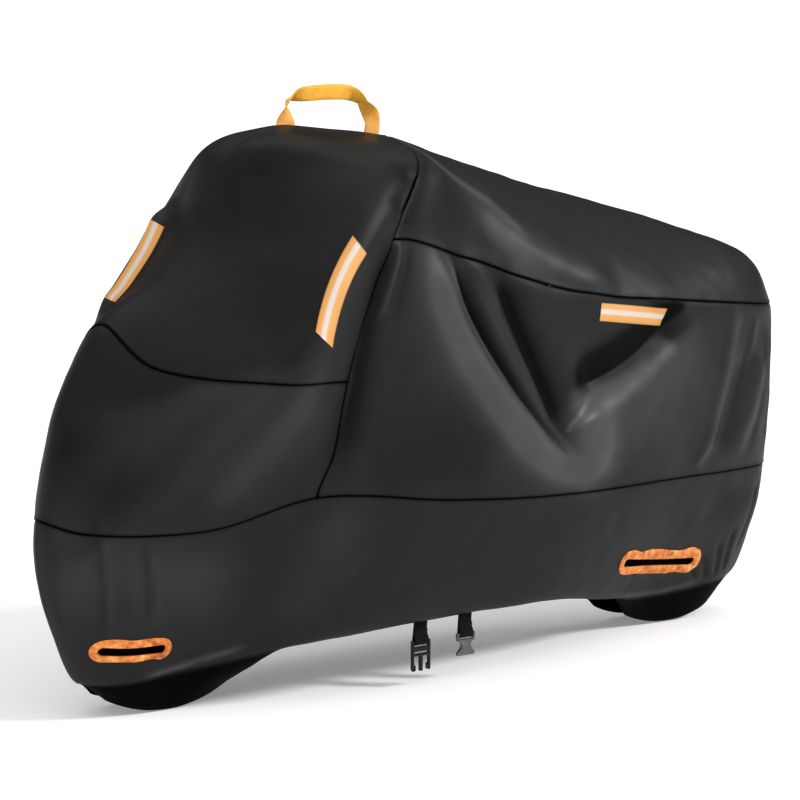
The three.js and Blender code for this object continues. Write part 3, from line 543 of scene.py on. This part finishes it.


# Materials
# The coat's tones, and how they go with the gap to a seam in centimetres, which is painted shade, on the
# hem's turned part, also painted shade, with the painted light and shade of the table, and with how steeply
# the coat is seen
CLOTH_TONES = [(0.3, (0.0062, 0.0062, 0.0064)), (0.7, (0.0082, 0.0082, 0.0084))]
SEAM_PAINTED_SHADE = [(0.0, 0.05), (0.2, 0.16), (0.45, 0.70), (0.9, 1.0)]
HEM_PAINTED_SHADE = [(0.0, 1.0), (1.0, 0.10)]
PAINTED_LIGHT_TONES = [(0.0, 0.30), (0.5, 1.0), (0.75, 2.7), (1.0, 5.2)]
PAINTED_LIGHT_GLOSS = [(0.0, 0.03), (0.5, 0.16), (0.75, 0.21), (1.0, 0.30)]
EDGE_COAT = [(0.0, 1.0), (0.6, 0.8), (1.0, 0.12)]
COAT_ROUGHNESS = (0.40, 0.50)
COAT_WEAVE = 0.0016

# The ribbon's tones across it, and a painted glow in the same tones that stands in for the light it sends
# back
TAPE_TONES = [
    (0.000, (0.13, 0.040, 0.006)), (0.060, (0.50, 0.225, 0.050)), (0.290, (0.53, 0.255, 0.062)),
    (0.350, (0.50, 0.410, 0.360)), (0.560, (0.52, 0.435, 0.395)), (0.630, (0.53, 0.265, 0.068)),
    (0.940, (0.50, 0.225, 0.050)), (1.000, (0.13, 0.040, 0.006))]
TAPE_WEAVE = 0.0022
TAPE_PAINTED_GLOW = 0.40

BINDING_PAINTED_LIGHT = [(0.30, (0.28, 0.048, 0.006)), (0.46, (0.62, 0.155, 0.014)), (0.60, (0.80, 0.29, 0.045)),
                 (0.74, (0.92, 0.54, 0.28))]
BINDING_WEAVE = 0.0025

WEBBING_WEAVE = (0.0022, 0.00352)
AMBER = ((0.93, 0.39, 0.022), (1.0, 0.55, 0.055))
AMBER_ENDS = (0.95, 0.40, 0.20)
BLACK = ((0.0022, 0.0022, 0.0024), (0.0060, 0.0060, 0.0064))
BLACK_PLASTIC = ((0.003, 0.003, 0.003), (0.007, 0.007, 0.0075))
GREY_PLASTIC = ((0.045, 0.045, 0.047), (0.12, 0.12, 0.125))


def coated_cloth():
    """Black coated cloth, with painted shade in a seam and on the hem's turned part, and painted light and
    shade from the table in its colour and gloss.
    """
    material, tree, shader = new_material("coated_cloth", {})
    # Painted shade along the seams: the colour and the gloss darken towards a seam line.
    gap = maths(tree, "MULTIPLY", point_value(tree, "seam_gap"), 100.0)
    seam = ramp(tree, gap, SEAM_PAINTED_SHADE)
    # Painted shade on the hem's turned part, in the colour and the gloss.
    under = ramp(tree, point_value(tree, "under"), HEM_PAINTED_SHADE)
    # Painted light and shade from the table: it lightens or darkens the colour and raises or lowers the
    # gloss.
    painted_light_share = point_value(tree, "painted_light")
    tone = ramp(tree, noise(tree, scale=5.0, detail=4.0), CLOTH_TONES)
    tone = multiply(tree, tone, seam, under, ramp(tree, painted_light_share, PAINTED_LIGHT_TONES))
    tree.links.new(tone, shader.inputs["Base Color"])
    edge = add_node(tree, "ShaderNodeLayerWeight", {"Blend": 0.5})
    calm = ramp(tree, edge.outputs["Facing"], EDGE_COAT)
    coat = multiply(tree, ramp(tree, painted_light_share, PAINTED_LIGHT_GLOSS), calm, seam, under)
    tree.links.new(coat, shader.inputs["Specular IOR Level"])
    rough = add_node(tree, "ShaderNodeMapRange", {"To Min": COAT_ROUGHNESS[0], "To Max": COAT_ROUGHNESS[1]})
    tree.links.new(noise(tree, scale=14.0, detail=3.0), rough.inputs["Value"])
    tree.links.new(rough.outputs[0], shader.inputs["Roughness"])
    weave, _ = weave_height(tree, COAT_WEAVE, COAT_WEAVE)
    relief = weave_over(tree, weave, 0.06, noise(tree, scale=45.0, detail=5.0))
    add_bump(tree, shader, relief, strength=0.35, distance=0.0012)
    return material


def webbing_material(name, tones, gloss=0.5, ends=None):
    """Woven webbing with ribs across it. u runs along the band and v across it, both in metres."""
    material, tree, shader = new_material(name, {"Roughness": 0.8, "Specular IOR Level": gloss})
    weave, _ = weave_height(tree, *WEBBING_WEAVE)
    value = weave_over(tree, weave, 0.18, noise(tree, scale=30.0, detail=4.0))
    tone = ramp(tree, value, [(0.3, tones[0]), (0.7, tones[1])])
    if ends is not None:
        mixed = add_node(tree, "ShaderNodeMix", data_type="RGBA")
        mixed.inputs["B"].default_value = (*ends, 1.0)
        tree.links.new(point_value(tree, "foot"), mixed.inputs["Factor"])
        tree.links.new(tone, mixed.inputs["A"])
        tone = mixed.outputs["Result"]
    tree.links.new(tone, shader.inputs["Base Color"])
    add_bump(tree, shader, weave, strength=0.5, distance=0.0006)
    return material


def tape_material():
    """A reflective ribbon: orange edges and a silver middle, by the distance across it."""
    constants = {"Emission Strength": TAPE_PAINTED_GLOW, "Roughness": 0.5}
    material, tree, shader = new_material("reflective_ribbon", constants)
    weave, parts = weave_height(tree, TAPE_WEAVE, TAPE_WEAVE)
    tone = ramp(tree, parts.outputs[1], TAPE_TONES)
    tree.links.new(tone, shader.inputs["Base Color"])
    # Painted glow: the ribbon's tones also go to its emission.
    tree.links.new(tone, shader.inputs["Emission Color"])
    add_bump(tree, shader, weave, strength=0.3, distance=0.0005)
    return material


def binding_material():
    """Crumpled orange cloth, with painted highlights on its crumples and painted shade between them."""
    material, tree, shader = new_material("orange_binding", {"Roughness": 0.6})
    creased = noise(tree, scale=55.0, detail=5.0, roughness=0.6)
    # Painted light and shade: the colour follows the same noise as the crumpled relief.
    tree.links.new(ramp(tree, creased, BINDING_PAINTED_LIGHT), shader.inputs["Base Color"])
    weave, _ = weave_height(tree, BINDING_WEAVE, BINDING_WEAVE)
    relief = weave_over(tree, weave, 0.15, creased)
    add_bump(tree, shader, relief, strength=0.6, distance=0.002)
    return material


def plastic_material(name, tones, roughness, gloss):
    """Moulded plastic with a fine grain."""
    material, tree, shader = new_material(name, {"Roughness": roughness, "Specular IOR Level": gloss})
    grain = noise(tree, scale=160.0, detail=4.0)
    tone = ramp(tree, grain, [(0.35, tones[0]), (0.7, tones[1])])
    tree.links.new(tone, shader.inputs["Base Color"])
    add_bump(tree, shader, grain, strength=0.15, distance=0.0004)
    return material


# Meshes
def make_piece(name, places, faces, uv, material, node, values=None):
    """A smooth mesh that rides on the body, with a uv map in metres and named values at its points."""
    mesh = bpy.data.meshes.new(name)
    mesh.from_pydata(np.asarray(places).tolist(), [], [list(face) for face in faces])
    layer = mesh.uv_layers.new(name="cloth")
    corners = np.empty(len(mesh.loops), int)
    mesh.loops.foreach_get("vertex_index", corners)
    layer.data.foreach_set("uv", np.asarray(uv, float)[corners].ravel())
    for key, value in (values or {}).items():
        attribute = mesh.attributes.new(key, "FLOAT", "POINT")
        attribute.data.foreach_set("value", np.asarray(value, float))
    mesh.shade_smooth()
    mesh.materials.append(material)
    piece = add_object(name, mesh)
    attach(piece, "root")
    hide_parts(node)
    return piece


CLOTH = 0.0014

# A seam: the upper cloth's lip and folded edge and the dip of the cloth under it, as heights and widths
LIP = 0.0010
LIP_AT = 0.0035
LIP_WIDTH = 0.004
FOLDED_EDGE = 0.0008
FOLDED_WIDTH = 0.001
DIP = 0.0017
DIP_WIDTH = 0.007

# Painted shade on the hem's turned part where it is drawn in on the round stretches by the wheel arcs, and
# none away from them.
UNDER_ROWS = 3.0
UNDER_SPREAD = (0.20, 0.28)

POINT_VALUES = ("seam_gap", "under", "painted_light")

# The panels: their flat size, columns, rows, and the edges that lap over or under the next panel's
FRONT = (-SEAM_COLUMN, SEAM_COLUMN)
BREAST, BELT, BAND = level("breast"), level("belt"), level("band")
PANELS = [
    {"node": "panel_windscreen", "flat": (1.3, 1.1),
     "columns": FRONT, "rows": (0, BREAST),
     "over": ["bottom", "first", "last"], "under": []},
    {"node": "panel_front_lower", "flat": (1.5, 0.5),
     "columns": FRONT, "rows": (BREAST, BAND),
     "over": ["bottom", "first", "last"], "under": ["top"]},
    {"node": "panel_saddle", "flat": (1.5, 0.9),
     "columns": (SEAM_COLUMN, SIZE - SEAM_COLUMN), "rows": (0, BELT),
     "over": ["bottom"], "under": ["first", "last"]},
    {"node": "panel_side_left", "flat": (1.75, 0.65),
     "columns": (SEAM_COLUMN, HALF), "rows": (BELT, BAND),
     "over": ["bottom", "last"], "under": ["top", "first"]},
    {"node": "panel_side_right", "flat": (1.75, 0.65),
     "columns": (HALF, SIZE - SEAM_COLUMN), "rows": (BELT, BAND),
     "over": ["bottom"], "under": ["top", "first", "last"]},
    {"node": "skirt_left", "flat": (2.25, 0.48),
     "columns": (0, HALF), "rows": (BAND, ROWS - 1),
     "over": ["first", "last"], "under": ["top"]},
    {"node": "skirt_right", "flat": (2.25, 0.48),
     "columns": (HALF, SIZE), "rows": (BAND, ROWS - 1),
     "over": [], "under": ["top", "first", "last"]},
]


def bell(gap, width):
    return np.exp(-((gap / width) ** 2))


def seam_lift(over, gap):
    """How far a sewn edge lifts or presses the cloth at a distance from it."""
    if over:
        return LIP * bell(gap - LIP_AT, LIP_WIDTH) - FOLDED_EDGE * bell(gap, FOLDED_WIDTH)
    return -DIP * bell(gap, DIP_WIDTH)


def painted_hem_shade(at, rows):
    """How much painted shade each point of the hem's turned part gets: full on the round stretches by the
    wheel arcs, none away from them.
    """
    below = np.clip((rows - level("hem")) / UNDER_ROWS, 0, 1)
    x = at[..., 0] + ORIGIN[0]
    near_arc = np.min([np.abs(x - centre) for centre in ARC_CENTRES], axis=0)
    return below * (1 - smooth(*UNDER_SPREAD, near_arc))


def grid_area(at):
    cross = np.cross(np.diff(at, axis=0)[:, :-1], np.diff(at, axis=1)[:-1])
    return float(np.sum(np.linalg.norm(cross, axis=2)))


def panel_grid(panel):
    """Points, faces and values of one panel of the grid, the crown's shared points merged."""
    columns, rows = (np.arange(first, last + 1) for first, last in (panel["columns"], panel["rows"]))
    columns = columns % SIZE
    here = np.ix_(columns, rows)
    at = surface[here]
    down = run_along(at, 1)
    across = run_along(at, 0)
    gaps = {"top": down, "bottom": down[:, -1:] - down, "first": across, "last": across[-1:] - across}
    gaps = {edge: gaps[edge] for edge in gaps if edge in panel["over"] + panel["under"]}
    lift = sum(seam_lift(edge in panel["over"], gap) for edge, gap in gaps.items())
    values = {
        "places": at + surface_normals[here] * lift[..., None],
        "uv": np.stack([np.broadcast_to(across.mean(1, keepdims=True), across.shape), down], axis=2),
        "seam_gap": np.min(list(gaps.values()), axis=0),
        "under": painted_hem_shade(at, rows),
        "painted_light": painted_light[here],
    }
    ids = columns[:, None] * ROWS + rows
    if rows[0] == 0:
        ids[:, 0] = np.minimum(columns, -columns % SIZE) * ROWS
    used, first = np.unique(ids, return_index=True)
    grid = {key: value.reshape(ids.size, *value.shape[2:])[first] for key, value in values.items()}
    faces = np.stack([ids[:-1, :-1], ids[:-1, 1:], ids[1:, 1:], ids[1:, :-1]], axis=2).reshape(-1, 4)
    grid["faces"] = np.searchsorted(used, faces)
    grid["area"] = grid_area(at)
    return grid


def tree_of(grid):
    return BVHTree.FromPolygons(grid["places"].tolist(), grid["faces"].tolist())


# Slots in the skirt, along X and Z
SLOTS = {
    "front": {"middle": (0.875, 0.165), "length": 0.146, "height": 0.020, "slope": 0.05, "band": 0.0155},
    "rear": {"middle": (-0.567, 0.193), "length": 0.296, "height": 0.021, "slope": 0.15, "band": 0.0215},
}


def slot_frame(slot):
    tilt = math.atan(slot["slope"])
    along = np.array([math.cos(tilt), math.sin(tilt)])
    return np.array(slot["middle"]) - ORIGIN[[0, 2]], along, np.array([-along[1], along[0]])


def slot_gap(flat, slot):
    """For points in (x, z): the distance from the slot's outline, negative inside, the nearest place on
    the slot's core line, and the direction from there."""
    middle, along, up = slot_frame(slot)
    u = (flat - middle) @ along
    v = (flat - middle) @ up
    straight = slot["length"] - slot["height"]
    core = np.clip(u, -straight / 2, straight / 2)
    offset = np.stack([u - core, v], axis=1)
    length = np.maximum(np.linalg.norm(offset, axis=1), 1e-9)
    return length - slot["height"] / 2, core, offset / length[:, None]


SLOT_MARGIN = 0.004  # the cloth's cut edge lies this far inside the binding
CAST_FROM = 1.0  # points are cast on the skirt from this far beside it


def cut_slots(grid, side):
    """Takes the slots out of a skirt and brings the cut edge to their outline."""
    tree = tree_of(grid)
    for slot in SLOTS.values():
        middle, along, up = slot_frame(slot)
        gap, core, away = slot_gap(grid["places"][:, [0, 2]], slot)
        inside = (gap < SLOT_MARGIN) & (grid["places"][:, 1] * side > 0)
        keep = ~np.any(inside[grid["faces"]], axis=1)
        gone = grid["faces"][~keep]
        grid["faces"] = grid["faces"][keep]
        reach = slot["height"] / 2 + SLOT_MARGIN
        for k in np.intersect1d(gone, grid["faces"]):
            flat = middle + (core[k] + away[k, 0] * reach) * along + away[k, 1] * reach * up
            hit = tree.ray_cast((flat[0], side * CAST_FROM, flat[1]), (0, -side, 0))[0]
            if hit is not None:
                grid["places"][k] = hit
    used, inverse = np.unique(grid["faces"], return_inverse=True)
    grid["faces"] = inverse.reshape(-1, 4)
    for key in ("places", "uv", *POINT_VALUES):
        grid[key] = grid[key][used]


def make_panel(panel, material):
    grid = panel_grid(panel)
    if panel["node"].startswith("skirt"):
        cut_slots(grid, 1 if panel["node"].endswith("left") else -1)
    name = panel["node"].removeprefix("panel_") + "_cloth"
    piece = make_piece(name, grid["places"], grid["faces"], grid["uv"], material, panel["node"],
                       {key: grid[key] for key in POINT_VALUES})
    solid = piece.modifiers.new("thickness", "SOLIDIFY")
    solid.thickness = CLOTH
    solid.offset = -1
    return piece, grid


def closed_grid(shape, wrap_first=False, wrap_second=False):
    """Quads of a grid of points, closed round on itself where asked."""
    n, m = shape
    faces = []
    for i in range(n if wrap_first else n - 1):
        after = (i + 1) % n
        for j in range(m if wrap_second else m - 1):
            beside = (j + 1) % m
            faces.append([i * m + j, after * m + j, after * m + beside, i * m + beside])
    return faces


def end_caps(rings, count):
    """The two end faces of a tube of rings."""
    last = (rings - 1) * count
    return [list(range(count))[::-1], [last + k for k in range(count)]]


# Reflective strips
TAPE = 0.0016
TAPE_SEAT = 0.0004
STRIP_STEPS = 48
STRIP_REACH = 0.2  # a strip's points are cast on the cloth from this far
STRIP_SECTION = [(-0.5, 0.0), (-0.5, 0.8), (-0.47, 1.0), (-0.3, 1.0), (-0.1, 1.0), (0.1, 1.0), (0.3, 1.0),
                 (0.47, 1.0), (0.5, 0.8), (0.5, 0.0), (0.0, 0.0)]
SIDE_STRIP = {"middle": (-0.403, 0.251, 0.825), "along": (-0.212, -0.020, -0.026), "facing": (-0.08, 1, 0.06),
              "length": 0.242, "width": 0.043, "slants": (0.0, 0.0), "bow": 0.0}
STRIPS = [
    {"name": "strip_front_left", "panel": "panel_windscreen", "mirror": 1, "middle": (0.532, 0.404, 0.943),
     "along": (-0.096, -0.006, 0.196), "facing": (0.62, 0.77, 0.16), "length": 0.212, "width": 0.040,
     "slants": (-0.020, -0.026), "bow": -0.009},
    {"name": "strip_front_right", "panel": "panel_windscreen", "mirror": 1, "middle": (0.706, -0.168, 0.974),
     "along": (-0.132, -0.044, 0.147), "facing": (0.72, 0.14, 0.68), "length": 0.224, "width": 0.056,
     "slants": (-0.020, -0.020), "bow": 0.0},
    {"name": "strip_side_left", "panel": "panel_side_left", "mirror": 1, **SIDE_STRIP},
    {"name": "strip_side_right", "panel": "panel_side_right", "mirror": -1, **SIDE_STRIP},
]


def project(tree, start, direction):
    hit, normal, _, _ = tree.ray_cast(start, direction)
    if hit is None:
        hit, normal, _, _ = tree.find_nearest(start)
    if normal.dot(Vector(direction)) > 0:
        normal = -normal
    return np.array(hit), np.array(normal)


def make_strip(row, tree, material):
    flip = np.array([1, row["mirror"], 1])
    facing = np.array(row["facing"], float) * flip
    facing /= np.linalg.norm(facing)
    middle = np.array(row["middle"]) * flip - ORIGIN
    along = np.array(row["along"]) * flip
    up = along - along @ facing * facing
    up /= np.linalg.norm(up)
    across = np.cross(up, facing)
    places, uv = [], []
    for k in range(STRIP_STEPS + 1):
        run = k / STRIP_STEPS
        bow = row["bow"] * (1 - (2 * run - 1) ** 2)
        slant = row["slants"][0] * (1 - run) + row["slants"][1] * run
        for share, lift in STRIP_SECTION:
            v = (run - 0.5) * row["length"] + share * slant
            start = middle + up * v + across * (share * row["width"] + bow) + facing * STRIP_REACH
            hit, normal = project(tree, start, -facing)
            places.append(hit + normal * (TAPE_SEAT + lift * TAPE))
            uv.append((v, 0.5 + share))
    rings, count = STRIP_STEPS + 1, len(STRIP_SECTION)
    faces = closed_grid((rings, count), wrap_second=True) + end_caps(rings, count)
    return make_piece(row["name"] + "_tape", places, faces, uv, material, row["name"])


# Bindings round the slots: a folded band over the cut edge, crumpled. A row is a share of the band's
# width from the edge, and how far the cloth stands out there.
BINDING_SECTION = [
    (1.00, 0.0006), (0.96, 0.0020), (0.80, 0.0031), (0.55, 0.0038), (0.30, 0.0040), (0.12, 0.0034),
    (0.02, 0.0018), (0.00, -0.0004), (0.03, -0.0030), (0.15, -0.0044), (0.45, -0.0042), (0.80, -0.0034),
    (0.96, -0.0026), (0.98, -0.0019), (0.60, -0.0018), (0.22, -0.0018), (0.10, -0.0010), (0.14, 0.0002),
    (0.55, 0.0005)]
BINDING_STEPS = 150

# How much it crumples, narrows and sags, and the lengths of the first two along the slot
CRUMPLE_LENGTH = 0.035
CRUMPLE = 0.45
PINCH_LENGTH = 0.06
PINCH = 0.14
SAG = 0.004
LOWER_SAG = 0.3  # the lower edge sags by this share of the upper one's
BINDING_SEEDS = {("front", 1): 11, ("front", -1): 16, ("rear", 1): 23, ("rear", -1): 28}


def slot_walk(run, straight, radius):
    """Where a run round the slot's outline is: the place on its core line, and the direction away from it."""
    half, bend = straight / 2, math.pi * radius
    if run < straight:
        return -half + run, -math.pi / 2
    if run < straight + bend:
        return half, -math.pi / 2 + (run - straight) / radius
    if run < 2 * straight + bend:
        return half - (run - straight - bend), math.pi / 2
    return -half, math.pi / 2 + (run - 2 * straight - bend) / radius


def make_binding(place, side, tree, material):
    slot = SLOTS[place]
    middle, along, up = slot_frame(slot)
    radius = slot["height"] / 2
    straight = slot["length"] - slot["height"]
    whole = 2 * straight + 2 * math.pi * radius
    seed = BINDING_SEEDS[place, side]
    places, uv = [], []
    for k in range(BINDING_STEPS):
        run = whole * k / BINDING_STEPS
        core, turn = slot_walk(run, straight, radius)
        away = math.cos(turn) * along + math.sin(turn) * up
        here = np.array([[run, seed * 0.1, 0.0]])
        crumple = CRUMPLE * float(ripple(here, seed, CRUMPLE_LENGTH, 1.0)[0])
        pinch = PINCH * float(ripple(here, seed + 1, PINCH_LENGTH, 1.0)[0])
        sag = -SAG * math.cos(math.pi * core / slot["length"]) * (1 if turn > 0 else LOWER_SAG)
        for share, lift in BINDING_SECTION:
            spread = radius + share * slot["band"] * (1 + pinch)
            flat = middle + core * along + away * spread + up * sag * (1 - share)
            hit, normal = project(tree, (flat[0], side * CAST_FROM, flat[1]), (0, -side, 0))
            wave = 1 + crumple * math.sin(math.pi * share)
            places.append(hit + normal * lift * wave)
            uv.append((run, share * slot["band"]))
    faces = closed_grid((BINDING_STEPS, len(BINDING_SECTION)), True, True)
    if side < 0:
        faces = [face[::-1] for face in faces]
    name = "slot_binding_" + place + ("_left" if side > 0 else "_right")
    piece = name.removeprefix("slot_") + "_band"
    return make_piece(piece, places, faces, uv, material, name)


# Webbing
WEBBING = 0.0024
BAND_SECTION = [
    (-1.0, -0.55), (-0.97, -1.0), (-0.5, -1.0), (0.0, -1.0), (0.5, -1.0), (0.97, -1.0), (1.0, -0.55),
    (1.0, 0.55), (0.97, 1.0), (0.5, 1.0), (0.0, 1.0), (-0.5, 1.0), (-0.97, 1.0), (-1.0, 0.55)]


def band_mesh(centres, halves, thickness):
    """A band through centres, its half widths as vectors, with rounded selvedges."""
    centres, halves = np.asarray(centres), np.asarray(halves)
    tangents = np.gradient(centres, axis=0)
    lifts = np.cross(tangents, halves)
    lifts *= thickness / 2 / np.linalg.norm(lifts, axis=1, keepdims=True)
    run = np.concatenate([[0], np.cumsum(np.linalg.norm(np.diff(centres, axis=0), axis=1))])
    places, uv = [], []
    for centre, half, lift, u in zip(centres, halves, lifts, run):
        for w, t in BAND_SECTION:
            places.append(centre + half * w + lift * t)
            uv.append((u, w * np.linalg.norm(half)))
    count = len(BAND_SECTION)
    faces = [face[::-1] for face in closed_grid((len(centres), count), wrap_second=True)]
    return places, faces + end_caps(len(centres), count), uv, run


# The handle's line from its front foot to its rear foot: x, z, width, and its twist in degrees
HANDLE = np.array([
    (0.413, 1.262, 0.050, 0), (0.412, 1.285, 0.048, 0), (0.410, 1.305, 0.042, 28), (0.408, 1.323, 0.038, 66),
    (0.402, 1.336, 0.037, 76), (0.386, 1.343, 0.036, 42), (0.350, 1.347, 0.035, 6), (0.290, 1.350, 0.035, 0),
    (0.246, 1.348, 0.035, 8), (0.222, 1.339, 0.035, 48), (0.205, 1.326, 0.035, 78), (0.192, 1.311, 0.037, 52),
    (0.181, 1.294, 0.039, 16), (0.178, 1.276, 0.040, 0), (0.184, 1.238, 0.042, 0)])
HANDLE_STEPS = 8
FOOT_FADE = 0.030


def make_handle(material):
    x, z, width, twist = HANDLE.T
    table = np.stack([x, np.zeros_like(x), z], axis=1) - ORIGIN
    at = np.arange(HANDLE_STEPS) / HANDLE_STEPS
    centres = through(table[:, None], False, [at] * (len(HANDLE) - 1))[:, 0]
    steps = np.linspace(0, len(HANDLE) - 1, len(centres))
    widths = np.interp(steps, range(len(HANDLE)), width)
    turns = np.radians(np.interp(steps, range(len(HANDLE)), twist))
    tangents = np.gradient(centres, axis=0)
    tangents /= np.linalg.norm(tangents, axis=1, keepdims=True)
    flat = np.cross(tangents, (0, 1, 0))
    halves = flat * np.cos(turns)[:, None] + np.cross(tangents, flat) * np.sin(turns)[:, None]
    places, faces, uv, run = band_mesh(centres, halves * widths[:, None] / 2, WEBBING)
    foot = np.exp(-np.minimum(run, run[-1] - run) / FOOT_FADE)
    piece = make_piece("handle_webbing", places, faces, uv, material, "handle",
                       {"foot": np.repeat(foot, len(BAND_SECTION))})


# The two strap ends: each hangs from the hem and loops round its buckle's bar.
STRAP_TOP = 0.172
STRAP_Y = 0.212
STRAP_BEND = 0.0019
STRAP_TAIL = 0.024
STRAP_WIDTH = 0.038
STRAP_STEPS = 8
BEND_STEPS = 4
BAR_TOP = 0.113
BAR_DEPTH = 0.007
BUCKLE_THICKNESS = 0.008
STRAPS = {"strap_front": (0.186, 0.192), "strap_rear": (0.061, 0.065)}  # X of each end's top and bottom


def strap_line():
    """A strap's side view in (y, z): down behind the bar, round under it, and up to a short tail."""
    thick = BUCKLE_THICKNESS / 2
    back = -thick - STRAP_BEND
    line = [(back, STRAP_TOP - (STRAP_TOP - BAR_TOP) * k / STRAP_STEPS) for k in range(STRAP_STEPS + 1)]
    for edge, start in ((-thick, math.pi), (thick, 1.5 * math.pi)):
        for k in range(BEND_STEPS + 1):
            angle = start + k * math.pi / 2 / BEND_STEPS
            down = BAR_TOP - BAR_DEPTH + STRAP_BEND * math.sin(angle)
            line.append((edge + STRAP_BEND * math.cos(angle), down))
    beside = back + 1.5 * WEBBING
    tail = [(-back, 0), (-back - 0.0006, 0.003), (0.002, 0.008), (beside, 0.013), (beside, STRAP_TAIL)]
    return line + [(y, BAR_TOP + z) for y, z in tail]


def make_strap(name, ends, material):
    centres = []
    for y, z in strap_line():
        share = (STRAP_TOP - z) / (STRAP_TOP - BAR_TOP)
        centres.append((ends[0] + (ends[1] - ends[0]) * share, STRAP_Y + y, z))
    centres = np.array(centres) - ORIGIN
    halves = np.tile([STRAP_WIDTH / 2, 0, 0], (len(centres), 1))
    places, faces, uv, run = band_mesh(centres, halves, WEBBING)
    piece = make_piece(name + "_webbing", places, faces, uv, material, name)


def paint_node(name, material):
    piece = bpy.data.objects[name]
    piece.data.materials.clear()
    piece.data.materials.append(material)


def build():
    cloth = coated_cloth()
    tape = tape_material()
    bound = binding_material()
    grids, sheets = {}, {}
    for panel in PANELS:
        sheets[panel["node"]], grids[panel["node"]] = make_panel(panel, cloth)
    trees = {node: tree_of(grid) for node, grid in grids.items()}
    whole = {panel["node"]: tree_of(panel_grid(panel)) for panel in PANELS}
    extras = {node: [] for node in sheets}
    for row in STRIPS:
        extras[row["panel"]].append(make_strip(row, trees[row["panel"]], tape))
    for place in SLOTS:
        for side, node in ((1, "skirt_left"), (-1, "skirt_right")):
            extras[node].append(make_binding(place, side, whole[node], bound))
    for panel in PANELS:
        node = panel["node"]
    make_handle(webbing_material("amber_webbing", AMBER, ends=AMBER_ENDS))
    black = webbing_material("black_webbing", BLACK, gloss=0.10)
    for name, ends in STRAPS.items():
        make_strap(name, ends, black)
    paint_node("buckle_plug", plastic_material("black_plastic", BLACK_PLASTIC, roughness=0.30, gloss=0.20))
    paint_node("buckle_socket", plastic_material("grey_plastic", GREY_PLASTIC, roughness=0.4, gloss=0.4))


# Floor
FLOOR_REACH = 30.0
FLOOR_DROP = 0.003
FLOOR_TONE = (0.95, 0.95, 0.95, 1.0)
FLOOR_GLOW = 0.22


def make_stage():
    mesh = bpy.data.meshes.new("floor")
    corners = [(-1, -1), (1, -1), (1, 1), (-1, 1)]
    mesh.from_pydata([(x * FLOOR_REACH, y * FLOOR_REACH, 0) for x, y in corners], [], [(0, 1, 2, 3)])
    material, _, _ = new_material("pale_floor", {
        "Base Color": FLOOR_TONE, "Roughness": 0.9,
        "Emission Color": (1.0, 1.0, 1.0, 1.0), "Emission Strength": FLOOR_GLOW})
    mesh.materials.append(material)
    floor = add_object("floor", mesh, at=(0, 0, -FLOOR_DROP))


make_camera()
make_world()
make_sun()
make_front_light()
bpy.context.scene.view_settings.view_transform = "Standard"
make_stage()
build()
